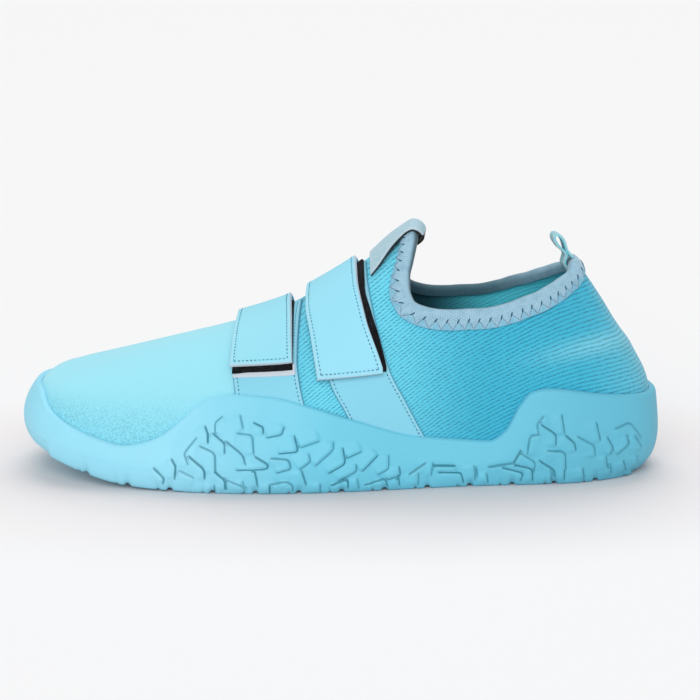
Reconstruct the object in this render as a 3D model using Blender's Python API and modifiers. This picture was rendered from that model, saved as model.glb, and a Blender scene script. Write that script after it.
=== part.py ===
"""Slip-on training shoe for the left foot, standing empty on its sole.

The toe points to -X, the heel to +X and the outer (lateral) side to -Y.  The origin is on the floor under
the middle of the shoe.  Every piece is worked out from one form, the last: a ring of curves that climb
from the feather edge, where upper and sole meet, to the ridge along the top of the foot.
"""

import math

import bmesh
import bpy
import numpy as np

mm = 0.001

# Driving sizes of the whole shoe
SOLE_LENGTH = 278 * mm
SOLE_MIDDLE = -1.67 * mm
LAST_LENGTH = 266.5 * mm
LAST_TOE = 5.2 * mm
BALL_WIDTH = 92 * mm
INSTEP_HEIGHT = 105 * mm
TOE_SPRING = 14.5 * mm
SPRING_START = 85 * mm
SPRING_POWER = 1.7

# Walls, layers and the gap that neighbouring pieces keep
KNIT_WALL = 2.0 * mm
GAP = 0.3 * mm
WALL_GAP = 0.55 * mm
SOLE_FLOOR = 8.0 * mm
INSOLE_THICKNESS = 3.5 * mm
LUG_HEIGHT = 2.2 * mm

# The rubber wall is thick at its foot and thins to a lip, which is thicker round the heel
WALL_FOOT = 4.8 * mm
WALL_FOOT_HEEL = 3.0 * mm
WALL_LIP_FRONT = 1.7 * mm
WALL_LIP_HEEL = 2.2 * mm
WALL_LIP_CHANGE = 190 * mm
WALL_LIP_CHANGE_RUN = 50 * mm

# The rounded bottom edge of the sole: how far it stands out from the feather edge, in front and at the heel
BOTTOM_EDGE_COLUMNS = ("out_mm", "heel_out_mm", "height_mm")
BOTTOM_EDGE_ROWS = (
    (4.6, 2.6, 5.0),
    (3.4, 0.2, 2.9),
    (1.0, -3.0, LUG_HEIGHT / mm),
)
HEEL_ROUNDING_START = 235 * mm
HEEL_ROUNDING_RUN = 35 * mm
HEEL_FLARE = 2.6 * mm
HEEL_FLARE_CLIMB = 0.30
HEEL_FLARE_SPREAD = (0.05, 0.10)

# The last: one row for each spoke, toe to heel.  along is a share of LAST_LENGTH; lateral and medial are
# shares of BALL_WIDTH; ridge is where the spoke meets the ridge, in mm from the toe; low_rise is the share
# of the height that the wall climbs before it turns in; bulge is how far it swells past the feather edge,
# in mm; crown is the share of the width over which the top stays flat; spokes is how many facets the solids
# have up to the next row.
LAST_COLUMNS = ("along", "lateral", "medial", "ridge", "low_rise", "bulge", "crown", "spokes")
LAST_ROWS = (
    (0.000, -0.06, 0.06, 38.0, 0.66, 2.0, 0.72, 4),
    (0.015, 0.165, 0.290, 38.5, 0.68, 2.0, 0.72, 4),
    (0.063, 0.330, 0.405, 41.0, 0.68, 2.0, 0.72, 3),
    (0.149, 0.437, 0.472, 50.0, 0.62, 2.5, 0.70, 3),
    (0.261, 0.502, 0.493, 75.0, 0.56, 3.0, 0.66, 4),
    (0.373, 0.528, 0.467, 105.0, 0.50, 3.0, 0.66, 3),
    (0.485, 0.507, 0.404, 135.0, 0.43, 3.0, 0.72, 2),
    (0.597, 0.452, 0.350, 165.0, 0.37, 3.0, 0.76, 2),
    (0.709, 0.398, 0.330, 193.0, 0.36, 4.0, 0.80, 3),
    (0.821, 0.366, 0.334, 205.0, 0.34, 5.5, 0.72, 3),
    (0.922, 0.313, 0.302, 210.0, 0.30, 8.0, 0.52, 3),
    (0.988, 0.194, 0.190, 212.0, 0.25, 12.0, 0.35, 4),
    (1.005, 0.000, 0.000, 212.0, 0.24, 13.0, 0.31, 4),
)

# The ridge along the top of the foot, closed over the collar opening, which is cut out of it afterwards
RIDGE_COLUMNS = ("along_mm", "height_share", "sideways_mm")
RIDGE_ROWS = (
    (38, 0.459, 5.0),
    (60, 0.513, 5.0),
    (90, 0.586, 4.0),
    (105, 0.627, 3.5),
    (117, 0.668, 3.0),
    (125, 0.708, 2.5),
    (145, 0.824, 1.0),
    (157, 0.906, 0.5),
    (169, 0.990, 0.0),
    (180, 1.065, 0.0),
    (193, 1.140, 0.0),
    (203, 1.160, 0.0),
    (212, 1.115, 0.0),
)

# Top edge of the rubber wall: a bumper at the toe, a hump beside the ball, a low waist and a heel cup
SIDEWALL_COLUMNS = ("along_mm", "height_mm")
SIDEWALL_ROWS = (
    (5, 37.0),
    (9, 36.2),
    (13, 32.6),
    (18, 28.6),
    (26, 24.7),
    (37, 21.0),
    (48, 18.8),
    (57, 20.4),
    (65, 23.7),
    (72, 29.0),
    (80, 35.6),
    (87, 39.0),
    (96, 40.2),
    (112, 39.4),
    (126, 36.2),
    (145, 30.4),
    (169, 23.2),
    (188, 20.7),
    (202, 19.6),
    (208, 23.2),
    (215, 34.8),
    (220, 40.0),
    (227, 41.4),
    (252, 38.2),
    (273, 35.5),
)

# Lugs under the sole and on the rubber wall
TREAD_FIRST = 27 * mm
TREAD_LAST = 262 * mm
TREAD_PITCH = 18.0 * mm
TREAD_GAP = 3.0 * mm
TREAD_LEAN = -4.0 * mm
TREAD_OVERHANG = 2.4 * mm
TREAD_SINK = 1.0 * mm
TREAD_TUCK = 2.5
TREAD_TUCK_START = 225 * mm
TREAD_TUCK_RUN = 40 * mm
SIDE_LUG_FIELDS = ((60 * mm, 168 * mm), (208 * mm, 256 * mm))
SIDE_LUG_FOOT = 8.5 * mm
SIDE_LUG_TOP = 30 * mm
SIDE_LUG_RISE = 8.0 * mm
SIDE_LUG_PITCH = 13.0 * mm
SIDE_LUG_GAP = 1.6 * mm
SIDE_LUG_LEAN = 3.0 * mm
SIDE_LUG_RAISED = 0.8 * mm
SIDE_LUG_SINK = 0.8 * mm
SIDE_LUG_MARGIN = 6.0 * mm

# Edge of the collar opening, from its peak at the instep down and round to the heel.  ring is the spoke's
# share of the way round the last, 0 at the toe and 0.5 at the heel, and climb is how far up that spoke the
# edge lies.
COLLAR_COLUMNS = ("ring", "climb")
COLLAR_ROWS = (
    (0.2995, 1.000),
    (0.2988, 0.930),
    (0.2978, 0.840),
    (0.2960, 0.753),
    (0.2945, 0.695),
    (0.2948, 0.635),
    (0.2975, 0.573),
    (0.3050, 0.525),
    (0.3150, 0.490),
    (0.3280, 0.465),
    (0.3430, 0.457),
    (0.3580, 0.470),
    (0.3760, 0.515),
    (0.3970, 0.578),
    (0.4210, 0.622),
    (0.4600, 0.646),
    (0.5000, 0.652),
)
BINDING_WIDTH = 7.4 * mm
BINDING_WIDTH_HEEL = 5.6 * mm
BINDING_HEEL_SHARE = 0.2
BINDING_INNER_LEG = 0.65
BINDING_THICKNESS = 1.0 * mm
BINDING_ROUNDING = 0.2 * mm
BINDING_SLACK = 0.8 * mm
CUTTER_INSIDE = 8.0 * mm
CUTTER_OUTSIDE = 4.0 * mm

# The two closing straps.  girth runs up the outer side from 0 at the feather edge to 1 on the ridge, and on
# down the inner side to 2; front_mm and rear_mm are the strip's edges there, along the shoe.  A strip that
# ends on the outer side ends level, for which its rear corner starts further down the girth by STRIP_SKEW.
STRIP_COLUMNS = ("girth", "front_mm", "rear_mm")
STRIP_SKEW = -0.038
FRONT_STRAP_ROWS = (
    (0.527, 93.3, 119.7),
    (0.75, 94.4, 119.6),
    (1.00, 95.4, 119.0),
    (2.00, 95.0, 119.0),
)
FRONT_TAPE_ROWS = (
    (0.498, 94.0, 119.6),
    (0.75, 95.8, 119.7),
    (0.95, 97.2, 119.6),
)
FRONT_BASE_ROWS = (
    (0.00, 101.0, 133.0),
    (0.41, 95.4, 122.4),
    (0.52, 94.4, 121.4),
    (0.95, 97.0, 122.6),
)
REAR_STRAP_ROWS = (
    (0.381, 129.9, 156.6),
    (0.59, 127.6, 150.3),
    (0.80, 125.7, 147.7),
    (1.00, 126.0, 147.5),
    (2.00, 134.0, 160.0),
)
REAR_TAPE_ROWS = (
    (0.386, 131.0, 158.2),
    (0.49, 129.8, 155.6),
    (0.60, 128.8, 152.6),
    (0.74, 127.6, 150.0),
    (0.95, 127.4, 149.8),
)
REAR_BASE_ROWS = (
    (0.00, 153.0, 182.0),
    (0.25, 141.0, 166.2),
    (0.37, 135.0, 159.6),
    (0.60, 129.4, 153.4),
    (0.80, 128.0, 150.8),
    (0.95, 127.8, 150.4),
)
BASE_THICKNESS = 0.9 * mm
TAPE_THICKNESS = 1.1 * mm
STRAP_THICKNESS = 1.5 * mm
STRIP_CLEARANCE = 1.2 * mm
STRAP_EASE_START = 1.05
STRAP_EASE_RUN = 0.25

# The tab that folds over the peak of the collar: climb is where its edges lie on the spokes it crosses
TAB_COLUMNS = ("feather_mm", "climb", "stand_off_mm")
TAB_ROWS = (
    (152.4, 0.792, 0.5),
    (156.0, 0.812, 1.1),
    (160.0, 0.845, 1.8),
    (164.0, 0.880, 2.1),
    (168.6, 0.900, 1.9),
)
TAB_THICKNESS = 1.0 * mm
TAB_GAP = 0.75 * mm
TAB_FOLD_RISE = 0.6 * mm
TAB_FOLD_INSIDE = 0.9 * mm
TAB_OUTER_BEND = 0.6 * mm
TAB_INNER_BEND = 0.4 * mm
TAB_INNER_LEG = (-3.5 * mm, -7.0 * mm)

# The pull loop at the heel, seen from the side: out from the collar's outer face, and up beyond its edge
LOOP_COLUMNS = ("out_mm", "up_mm")
LOOP_ROWS = (
    (-0.3, 2.1),
    (-0.3, 4.5),
    (-0.1, 6.5),
    (0.5, 8.5),
    (1.0, 11.0),
    (0.7, 13.4),
    (-0.5, 14.7),
    (-1.7, 13.8),
    (-2.3, 11.5),
    (-2.3, 9.0),
    (-2.1, 6.8),
    (-2.2, 4.9),
    (-3.4, 3.6),
    (-4.8, 2.4),
    (-5.0, 0.6),
    (-5.0, -6.0),
)
LOOP_WIDTH = 8.0 * mm
LOOP_THICKNESS = 1.2 * mm

# Resolution of the faceted solids
SMOOTH_ANGLE = math.radians(35)
WELD = 0.02 * mm
UPPER_RINGS = 8
WALL_RINGS = 4
COLLAR_STATIONS = 27
STRIP_CELL = 6.8 * mm
TAB_ROW_CUTS = 6
TAB_COLUMN_CUTS = 7


def columns(names, rows):
    """A table's columns by name, as arrays."""
    return dict(zip(names, np.array(rows, float).T))


def smooth_step(t):
    t = np.clip(t, 0.0, 1.0)
    return t * t * (3 - 2 * t)


def through(xs, ys, x):
    """A smooth curve through a table's points that never overshoots them."""
    width = np.diff(xs)
    rise = np.diff(ys) / width
    slope = np.concatenate([[rise[0]], np.zeros(len(xs) - 2), [rise[-1]]])
    same_way = rise[:-1] * rise[1:] > 0
    both = np.where(same_way, rise[:-1] * rise[1:], 0.0)
    slope[1:-1] = np.where(same_way, 2 * both / np.where(same_way, rise[:-1] + rise[1:], 1.0), 0.0)
    x = np.clip(x, xs[0], xs[-1])
    i = np.clip(np.searchsorted(xs, x) - 1, 0, len(xs) - 2)
    t = (x - xs[i]) / width[i]
    start = ys[i] * (1 + 2 * t) * (1 - t) ** 2 + ys[i + 1] * t * t * (3 - 2 * t)
    return start + width[i] * (slope[i] * t * (1 - t) ** 2 - slope[i + 1] * t * t * (1 - t))


def round_the_ring(values, r):
    """A smooth closed curve through values, which stand at r = 0, 1, 2 and so on."""
    count = len(values)
    step = np.eye(count)
    bend = np.linalg.solve(
        4 * step + np.roll(step, 1, 0) + np.roll(step, -1, 0),
        6 * (np.roll(values, -1) - 2 * values + np.roll(values, 1)),
    )
    i = np.floor(r).astype(int) % count
    j = (i + 1) % count
    t = r - np.floor(r)
    line = (values[i] - bend[i] / 6) * (1 - t) + (values[j] - bend[j] / 6) * t
    return line + (bend[i] * (1 - t) ** 3 + bend[j] * t**3) / 6


def ring_column(lateral, medial):
    """One value a spoke, round the ring: toe, outer side, heel, inner side."""
    return np.concatenate([lateral, medial[-2:0:-1]])


LAST = columns(LAST_COLUMNS, LAST_ROWS)
RIDGE = columns(RIDGE_COLUMNS, RIDGE_ROWS)
SIDEWALL = columns(SIDEWALL_COLUMNS, SIDEWALL_ROWS)
BOTTOM_EDGE = columns(BOTTOM_EDGE_COLUMNS, BOTTOM_EDGE_ROWS)
COLLAR = columns(COLLAR_COLUMNS, COLLAR_ROWS)
TAB = columns(TAB_COLUMNS, TAB_ROWS)
LOOP = columns(LOOP_COLUMNS, LOOP_ROWS)
RING_ROWS = 2 * (len(LAST_ROWS) - 1)
RING = {
    "along": ring_column(LAST["along"], LAST["along"]) * LAST_LENGTH + LAST_TOE,
    "side": ring_column(-LAST["lateral"], LAST["medial"]) * BALL_WIDTH,
    "ridge": ring_column(LAST["ridge"], LAST["ridge"]) * mm,
    "low_rise": ring_column(LAST["low_rise"], LAST["low_rise"]),
    "bulge": ring_column(LAST["bulge"], LAST["bulge"]) * mm,
    "crown": ring_column(LAST["crown"], LAST["crown"]),
}
RING["side"][0] = LAST["medial"][0] * BALL_WIDTH


def ring(name, u):
    """A property of the spoke at u: 0 at the toe, by the outer side to 0.5 at the heel, and on to 1."""
    return round_the_ring(RING[name], np.asarray(u, float) * RING_ROWS)


def spring(along):
    """How far the toe lifts the sole off the floor."""
    lift = np.clip((SPRING_START - along) / SPRING_START, 0.0, None)
    return TOE_SPRING * lift**SPRING_POWER


def ridge_point(along):
    """Points of the ridge and its slope there."""
    xs = RIDGE["along_mm"] * mm
    zs = RIDGE["height_share"] * INSTEP_HEIGHT
    step = 0.5 * mm
    height = through(xs, zs, along)
    slope = (through(xs, zs, along + step) - through(xs, zs, along - step)) / (2 * step)
    side = through(xs, RIDGE["sideways_mm"] * mm, along)
    return np.stack([along, side, height], -1), slope


def feather(u):
    """Points of the feather edge, and the outward direction there in plan."""
    along = ring("along", u)
    point = np.stack([along, ring("side", u), spring(along) + SOLE_FLOOR + GAP], -1)
    step = 1e-3
    run = np.stack([ring(name, u + step) - ring(name, u - step) for name in ("along", "side")], -1)
    run /= np.linalg.norm(run, axis=-1, keepdims=True)
    return point, np.stack([run[..., 1], -run[..., 0], np.zeros_like(along)], -1)


def last(u, v):
    """Points of the last's surface: v climbs each spoke from 0 at the feather edge to 1 on the ridge."""
    u, v = np.broadcast_arrays(np.asarray(u, float), np.asarray(v, float))
    low, outward = feather(u)
    top, slope = ridge_point(ring("ridge", u))
    climb = (top - low)[..., 2:]
    up = np.array([0.0, 0.0, 1.0])
    first = low + ring("low_rise", u)[..., None] * climb * up + ring("bulge", u)[..., None] * outward
    reach = ring("crown", u)[..., None] * (low - top)
    along_ridge = np.stack([np.ones_like(slope), np.zeros_like(slope), slope], -1)
    second = top + reach[..., :1] * along_ridge + reach[..., 1:2] * np.array([0.0, 1.0, 0.0])
    t = v[..., None]
    spoke = low * (1 - t) ** 3 + 3 * first * t * (1 - t) ** 2 + 3 * second * t * t * (1 - t) + top * t**3
    wide, tall = HEEL_FLARE_SPREAD
    flare = HEEL_FLARE * np.exp(-(((u - 0.5) / wide) ** 2) - ((v - HEEL_FLARE_CLIMB) / tall) ** 2)
    return spoke + flare[..., None] * outward


def last_normal(u, v):
    """Outward unit normals of the last."""
    u, v = np.broadcast_arrays(np.asarray(u, float), np.asarray(v, float))
    step = 1e-3
    v = np.clip(v, step, 1 - 4 * step)
    along = last(u + step, v) - last(u - step, v)
    climb = last(u, v + step) - last(u, v - step)
    normal = np.cross(along, climb)
    return normal / np.linalg.norm(normal, axis=-1, keepdims=True)


def skin(u, v, offset):
    """Points at a distance from the last's surface."""
    return last(u, v) + np.asarray(offset)[..., None] * last_normal(u, v)


def height_on_spoke(u, height):
    """The v at which each spoke reaches a height."""
    climb = np.linspace(0, 1, 201)
    return np.array([np.interp(h, last(x, climb)[:, 2], climb) for x, h in zip(u, height)])


def spoke_at(along):
    """The ring position, on the outer side, of the spoke that stands at a distance from the toe."""
    u = np.linspace(0, 0.5, 1201)
    return np.interp(along, ring("along", u), u)


def on_girth(along, girth):
    """Ring position and climb of a point on a girth, which runs over the ridge from outer to inner side."""
    u = spoke_at(along)
    inner = girth > 1
    return np.where(inner, 1 - u, u), np.where(inner, 2 - girth, girth)


def collar_edge(share):
    """Ring position and climb on the collar's edge: share runs from -1 at the heel by the inner side to 0
    at the peak and by the outer side to 1 at the heel again."""
    rows = np.arange(len(COLLAR_ROWS), dtype=float)
    at = np.abs(share) * rows[-1]
    u = through(rows, COLLAR["ring"], at)
    return np.where(share < 0, 1 - u, u), through(rows, COLLAR["climb"], at)


def collar_stations(count):
    """Shares of the collar's edge that lie evenly round it."""
    share = np.linspace(0, 1, 401)
    steps = np.linalg.norm(np.diff(last(*collar_edge(share)), axis=0), axis=1)
    length = np.concatenate([[0], np.cumsum(steps)])
    half = np.interp(np.linspace(0, length[-1], count + 1), length, share)
    return np.concatenate([-half[:0:-1], half[:-1]])


def collar_frame(share):
    """On the collar's edge: point, outward normal, and the direction in the surface towards the opening."""
    share = np.asarray(share, float)
    step = 2e-3
    ahead = np.where(share + step > 1, share + step - 2, share + step)
    behind = np.where(share - step < -1, share - step + 2, share - step)
    u, v = collar_edge(share)
    normal = last_normal(u, v)
    run = last(*collar_edge(ahead)) - last(*collar_edge(behind))
    opening = np.cross(normal, run)
    opening /= np.linalg.norm(opening, axis=-1, keepdims=True)
    return last(u, v), normal, opening


def by_collar(share, out, up):
    """A point out from the outer face and up beyond the collar's edge, or down the surface if up < 0."""
    point, normal, opening = collar_frame(share)
    if up >= 0:
        return point + out * normal + up * opening
    u, v = collar_edge(share)
    steps = 4
    for _ in range(steps):
        eps = 1e-3
        across = (last(u + eps, v) - last(u - eps, v)) / (2 * eps)
        climb = (last(u, v + eps) - last(u, v - eps)) / (2 * eps)
        goal = opening * up / steps
        aa, cc, ac = np.sum(across**2, -1), np.sum(climb**2, -1), np.sum(across * climb, -1)
        ga, gc = np.sum(goal * across, -1), np.sum(goal * climb, -1)
        whole = aa * cc - ac**2
        u = u + (ga * cc - gc * ac) / whole
        v = np.clip(v + (gc * aa - ga * ac) / whole, 0, 1)
    return last(u, v) + out * last_normal(u, v)


def placed(points):
    """Moves points from the toe's end to the middle of the shoe."""
    return np.asarray(points) - np.array([SOLE_LENGTH / 2, SOLE_MIDDLE, 0])


def new_object(name, mesh, material, collection):
    obj = bpy.data.objects.new(name, mesh)
    collection.objects.link(obj)
    if material:
        mesh.materials.append(material)
    mesh.shade_smooth()
    mesh.set_sharp_from_angle(angle=SMOOTH_ANGLE)
    return obj


def loft(grid, wrap_columns=False, wrap_rows=False):
    """A bmesh through a grid of points, and its vertices row by row."""
    shape = bmesh.new()
    verts = [[shape.verts.new(p) for p in placed(row)] for row in grid]
    rows = len(verts)
    count = len(verts[0])
    for i in range(rows if wrap_rows else rows - 1):
        for j in range(count if wrap_columns else count - 1):
            k = (j + 1) % count
            shape.faces.new((verts[i][j], verts[i][k], verts[(i + 1) % rows][k], verts[(i + 1) % rows][j]))
    return shape, verts


def ladder(shape, loop, flip):
    """Closes a ring of vertices with rungs from its outer side to its inner side."""
    count = len(loop)
    half = count // 2
    for i in range(half):
        rung = [loop[i], loop[i + 1], loop[(count - i - 1) % count], loop[(count - i) % count]]
        corners = list(dict.fromkeys(rung))
        shape.faces.new(corners[::-1] if flip else corners)


def finish(shape, name, material, collection):
    """Welds a bmesh, turns its faces outwards and makes it an object."""
    bmesh.ops.remove_doubles(shape, verts=shape.verts, dist=WELD)
    bmesh.ops.dissolve_degenerate(shape, dist=WELD / 2, edges=shape.edges)
    bmesh.ops.recalc_face_normals(shape, faces=shape.faces)
    if all(edge.is_manifold for edge in shape.edges) and shape.calc_volume(signed=True) < 0:
        bmesh.ops.reverse_faces(shape, faces=shape.faces)
    mesh = bpy.data.meshes.new(name)
    shape.to_mesh(mesh)
    shape.free()
    return new_object(name, mesh, material, collection)


def thicken(obj, thickness, outwards):
    """Gives an open surface its thickness, to the outside or the inside."""
    wall = obj.modifiers.new("wall", "SOLIDIFY")
    wall.thickness = thickness
    wall.offset = 1 if outwards else -1
    wall.use_rim = True
    return obj


def material(name, colour, roughness):
    made = bpy.data.materials.new(name)
    made.use_nodes = True
    shader = made.node_tree.nodes["Principled BSDF"]
    shader.inputs["Base Color"].default_value = (*colour, 1)
    shader.inputs["Roughness"].default_value = roughness
    shader.inputs["Metallic"].default_value = 0
    return made


def ring_positions():
    """Where the solids' facets meet, round the ring."""
    counts = LAST["spokes"][:-1].astype(int)
    side = np.concatenate([i + np.arange(n) / n for i, n in enumerate(counts)]) / RING_ROWS
    return np.concatenate([side, [0.5], 1 - side[:0:-1]])


def make_collar_cutter(collection):
    """Everything above the collar's edge, which is cut square to the knit wall."""
    share = collar_stations(2 * COLLAR_STATIONS)
    inside = by_collar(share, -CUTTER_INSIDE, 0)
    outside = by_collar(share, CUTTER_OUTSIDE, 0)
    above = np.column_stack([outside[:, :2], np.full(len(share), 2 * INSTEP_HEIGHT)])
    shape, verts = loft([inside, outside, above], wrap_columns=True)
    ladder(shape, verts[0], flip=True)
    ladder(shape, verts[-1], flip=False)
    return helper(finish(shape, "collar_cutter", None, collection))


def make_upper(collection, knit, cutters):
    """The knit upper: a hollow wall on the last, open underneath and cut open at the collar."""
    u = ring_positions()
    climb = np.linspace(0, 1, UPPER_RINGS + 1)
    shape, _ = loft([last(u, v) for v in climb], wrap_columns=True)
    upper = thicken(finish(shape, "upper", knit, collection), KNIT_WALL, outwards=False)
    cut(upper, make_collar_cutter(cutters))
    return upper


def make_binding(collection, ribbing):
    """The folded band that wraps the collar's edge, outside and inside."""
    share = collar_stations(COLLAR_STATIONS)
    inside = -KNIT_WALL - BINDING_SLACK
    thick = BINDING_THICKNESS
    to_heel = smooth_step((np.abs(share) - 1) / BINDING_HEEL_SHARE + 1)
    width = BINDING_WIDTH + (BINDING_WIDTH_HEEL - BINDING_WIDTH) * to_heel
    section = (
        (GAP, 1.0),
        (GAP + thick, 1.0),
        (GAP + thick, 0.5),
        (GAP + thick, 0.0),
        (GAP + BINDING_ROUNDING, None),
        (inside - BINDING_ROUNDING, None),
        (inside - thick, 0.0),
        (inside - thick, BINDING_INNER_LEG),
        (inside, BINDING_INNER_LEG),
        (inside, -2 * GAP),
        (GAP, -2 * GAP),
        (GAP, 0.5),
    )
    rings = []
    for out, down in section:
        if down is None:
            rings.append(by_collar(share, out, 2 * GAP + thick))
        elif down <= 0:
            rings.append(by_collar(share, out, -down))
        else:
            rings.append(np.array([by_collar(s, out, -down * w) for s, w in zip(share, width)]))
    shape, _ = loft(rings, wrap_columns=True, wrap_rows=True)
    return finish(shape, "collar_binding", ribbing, collection)


def over_sole(along):
    """The climb at which a strip clears the top edge of the rubber wall."""
    u = np.atleast_1d(spoke_at(along))
    return height_on_spoke(u, wall_height(ring("along", u)) + STRIP_CLEARANCE)


def strip_skin(rows, stand_off):
    """A grid of points over a strip of the upper; stand_off gives the gap to the upper along its girth."""
    table = columns(STRIP_COLUMNS, rows)
    first, final = table["girth"][0], table["girth"][-1]

    def edge(share, girth):
        front = through(table["girth"], table["front_mm"], girth)
        return (front + share * (through(table["girth"], table["rear_mm"], girth) - front)) * mm

    girth = np.linspace(max(first - abs(STRIP_SKEW), 0), final, 300)
    path = last(*on_girth(edge(0.5, girth), girth))
    length = np.concatenate([[0], np.cumsum(np.linalg.norm(np.diff(path, axis=0), axis=1))])
    cells = max(2, round(length[-1] / STRIP_CELL))
    widest = ((table["rear_mm"] - table["front_mm"]) * mm).max()
    grid = []
    for share in np.linspace(0, 1, max(2, round(widest / STRIP_CELL)) + 1):
        low, high = first, final
        level = first + STRIP_SKEW * (share - 0.5)
        for _ in range(4):
            low = max(level, float(over_sole(edge(share, low))[0]))
            high = min(final, 2 - float(over_sole(edge(share, high))[0]))
        part = np.linspace(np.interp(low, girth, length), np.interp(high, girth, length), cells + 1)
        column = np.interp(part, length, girth)
        u, v = on_girth(edge(share, column), column)
        grid.append(skin(u, v, stand_off(column)))
    return grid


def make_strip(collection, look, name, rows, stand_off, thickness):
    """One flat layer of a strap."""
    shape, _ = loft(strip_skin(rows, stand_off))
    strip = finish(shape, name, look, collection)
    return thicken(strip, thickness, outwards=True)


def make_straps(collection, base_look, tape_look, strap_look):
    """Front and rear straps: on the outer side a sewn base, hook tape on it and the strap over both."""
    base_gap = GAP
    tape_gap = base_gap + BASE_THICKNESS + GAP
    strap_gap = tape_gap + TAPE_THICKNESS + GAP

    def strap_stand_off(girth):
        return strap_gap + (GAP - strap_gap) * smooth_step((girth - STRAP_EASE_START) / STRAP_EASE_RUN)

    def base_stand_off(girth):
        return np.full_like(girth, base_gap)

    def tape_stand_off(girth):
        return np.full_like(girth, tape_gap)

    for name, base, tape, strap in (
        ("strap_front", FRONT_BASE_ROWS, FRONT_TAPE_ROWS, FRONT_STRAP_ROWS),
        ("strap_rear", REAR_BASE_ROWS, REAR_TAPE_ROWS, REAR_STRAP_ROWS),
    ):
        make_strip(collection, base_look, name + "_base", base, base_stand_off, BASE_THICKNESS)
        make_strip(collection, tape_look, name + "_tape", tape, tape_stand_off, TAPE_THICKNESS)
        make_strip(collection, strap_look, name, strap, strap_stand_off, STRAP_THICKNESS)


def make_tab(collection, ribbon):
    """The ribbon tab along the ridge, folded over the collar's peak and down inside it."""
    rows = []
    along = np.linspace(TAB["feather_mm"][0], TAB["feather_mm"][-1], TAB_ROW_CUTS)
    across = np.linspace(-1, 1, TAB_COLUMN_CUTS)
    for s in along:
        edge = through(TAB["feather_mm"], TAB["climb"], s)
        gap = through(TAB["feather_mm"], TAB["stand_off_mm"], s) * mm
        girth = 1 + across * (1 - edge)
        u, v = on_girth(np.full_like(across, s) * mm, girth)
        rows.append(skin(u, v, np.full_like(across, gap)))
    shares = np.linspace(0, 0.2, 201)
    peak_share = np.interp(np.abs(across) * (1 - TAB["climb"][-1]), 1 - collar_edge(shares)[1], shares)
    share = np.where(across > 0, -1, 1) * peak_share
    top = BINDING_THICKNESS + TAB_GAP
    inside = -KNIT_WALL - BINDING_SLACK - BINDING_THICKNESS - TAB_GAP
    fold = top + TAB_FOLD_RISE
    bends = (
        (top, TAB_OUTER_BEND),
        (0.0, fold),
        (inside + TAB_FOLD_INSIDE, fold),
        (inside, TAB_INNER_BEND),
    )
    for out, up in bends:
        rows.append(by_collar(share, out, up))
    for up in TAB_INNER_LEG:
        rows.append(np.array([by_collar(s, inside, up) for s in share]))
    shape, _ = loft(rows)
    return thicken(finish(shape, "tongue_tab", ribbon, collection), TAB_THICKNESS, outwards=True)


def make_loop(collection, ribbon):
    """The ribbon pull loop that straddles the collar at the heel."""
    peak = np.linspace(0, len(LOOP_ROWS) - 1, 2 * len(LOOP_ROWS) - 1)
    rows = np.arange(len(LOOP_ROWS), dtype=float)
    out = through(rows, LOOP["out_mm"], peak) * mm
    up = through(rows, LOOP["up_mm"], peak) * mm
    point, normal, opening = collar_frame(1.0)
    path = point + out[:, None] * normal + up[:, None] * opening
    sides = [path + [0, y, 0] for y in (-LOOP_WIDTH / 2, LOOP_WIDTH / 2)]
    shape, _ = loft(sides)
    loop = finish(shape, "heel_loop", ribbon, collection)
    thicken(loop, LOOP_THICKNESS, outwards=True).modifiers["wall"].offset = 0
    return loop


def combine(obj, tool, operation):
    step = obj.modifiers.new(tool.name, "BOOLEAN")
    step.operation = operation
    step.solver = "EXACT"
    step.object = tool


def cut(obj, cutter):
    combine(obj, cutter, "DIFFERENCE")


def join(obj, addition):
    combine(obj, addition, "UNION")


def helper(obj):
    """Keeps a cutter or an addition out of the finished shoe."""
    obj.hide_render = True
    obj.display_type = "WIRE"
    return obj


def wall_lip(along):
    """Thickness of the rubber wall's top edge."""
    to_heel = smooth_step((along - WALL_LIP_CHANGE) / WALL_LIP_CHANGE_RUN)
    return WALL_LIP_FRONT + (WALL_LIP_HEEL - WALL_LIP_FRONT) * to_heel


def wall_out(along, share):
    """How far the rubber wall's outer face stands out from the upper, from its foot (0) to its top (1)."""
    to_heel = smooth_step((along - HEEL_ROUNDING_START) / HEEL_ROUNDING_RUN)
    foot = WALL_FOOT + (WALL_FOOT_HEEL - WALL_FOOT) * to_heel
    return foot + (wall_lip(along) + WALL_GAP - foot) * smooth_step(share)


def wall_height(along):
    """Height of the rubber wall's top edge."""
    return through(SIDEWALL["along_mm"] * mm, SIDEWALL["height_mm"] * mm, along)


def make_sole(collection, rubber, cutters):
    """The moulded cup sole: floor, rounded bottom edge, a wall that hugs the upper, and its lugs."""
    u = ring_positions()
    edge, outward = feather(u)
    along = edge[:, 0]
    top = height_on_spoke(u, wall_height(along))
    lift = spring(along)
    to_heel = smooth_step((along - HEEL_ROUNDING_START) / HEEL_ROUNDING_RUN)

    def under(out, height):
        return np.column_stack([(edge + np.reshape(out, (-1, 1)) * outward)[:, :2], lift + height])

    rings = [under(GAP, SOLE_FLOOR)]
    for share in np.linspace(0, 1, WALL_RINGS + 1)[1:]:
        rings.append(skin(u, top * share, np.full_like(u, WALL_GAP)))
    for share in np.linspace(1, 0, WALL_RINGS + 1):
        rings.append(skin(u, top * share, wall_out(along, share)))
    for out, heel_out, height in zip(*(BOTTOM_EDGE[name] * mm for name in BOTTOM_EDGE_COLUMNS)):
        rings.append(under(out + (heel_out - out) * to_heel, height))
    shape, verts = loft(rings, wrap_columns=True)
    ladder(shape, verts[0], flip=False)
    ladder(shape, verts[-1], flip=True)
    sole = finish(shape, "sole", rubber, collection)
    join(sole, make_tread_lugs(cutters))
    join(sole, make_side_lugs(cutters))
    return sole


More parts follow.
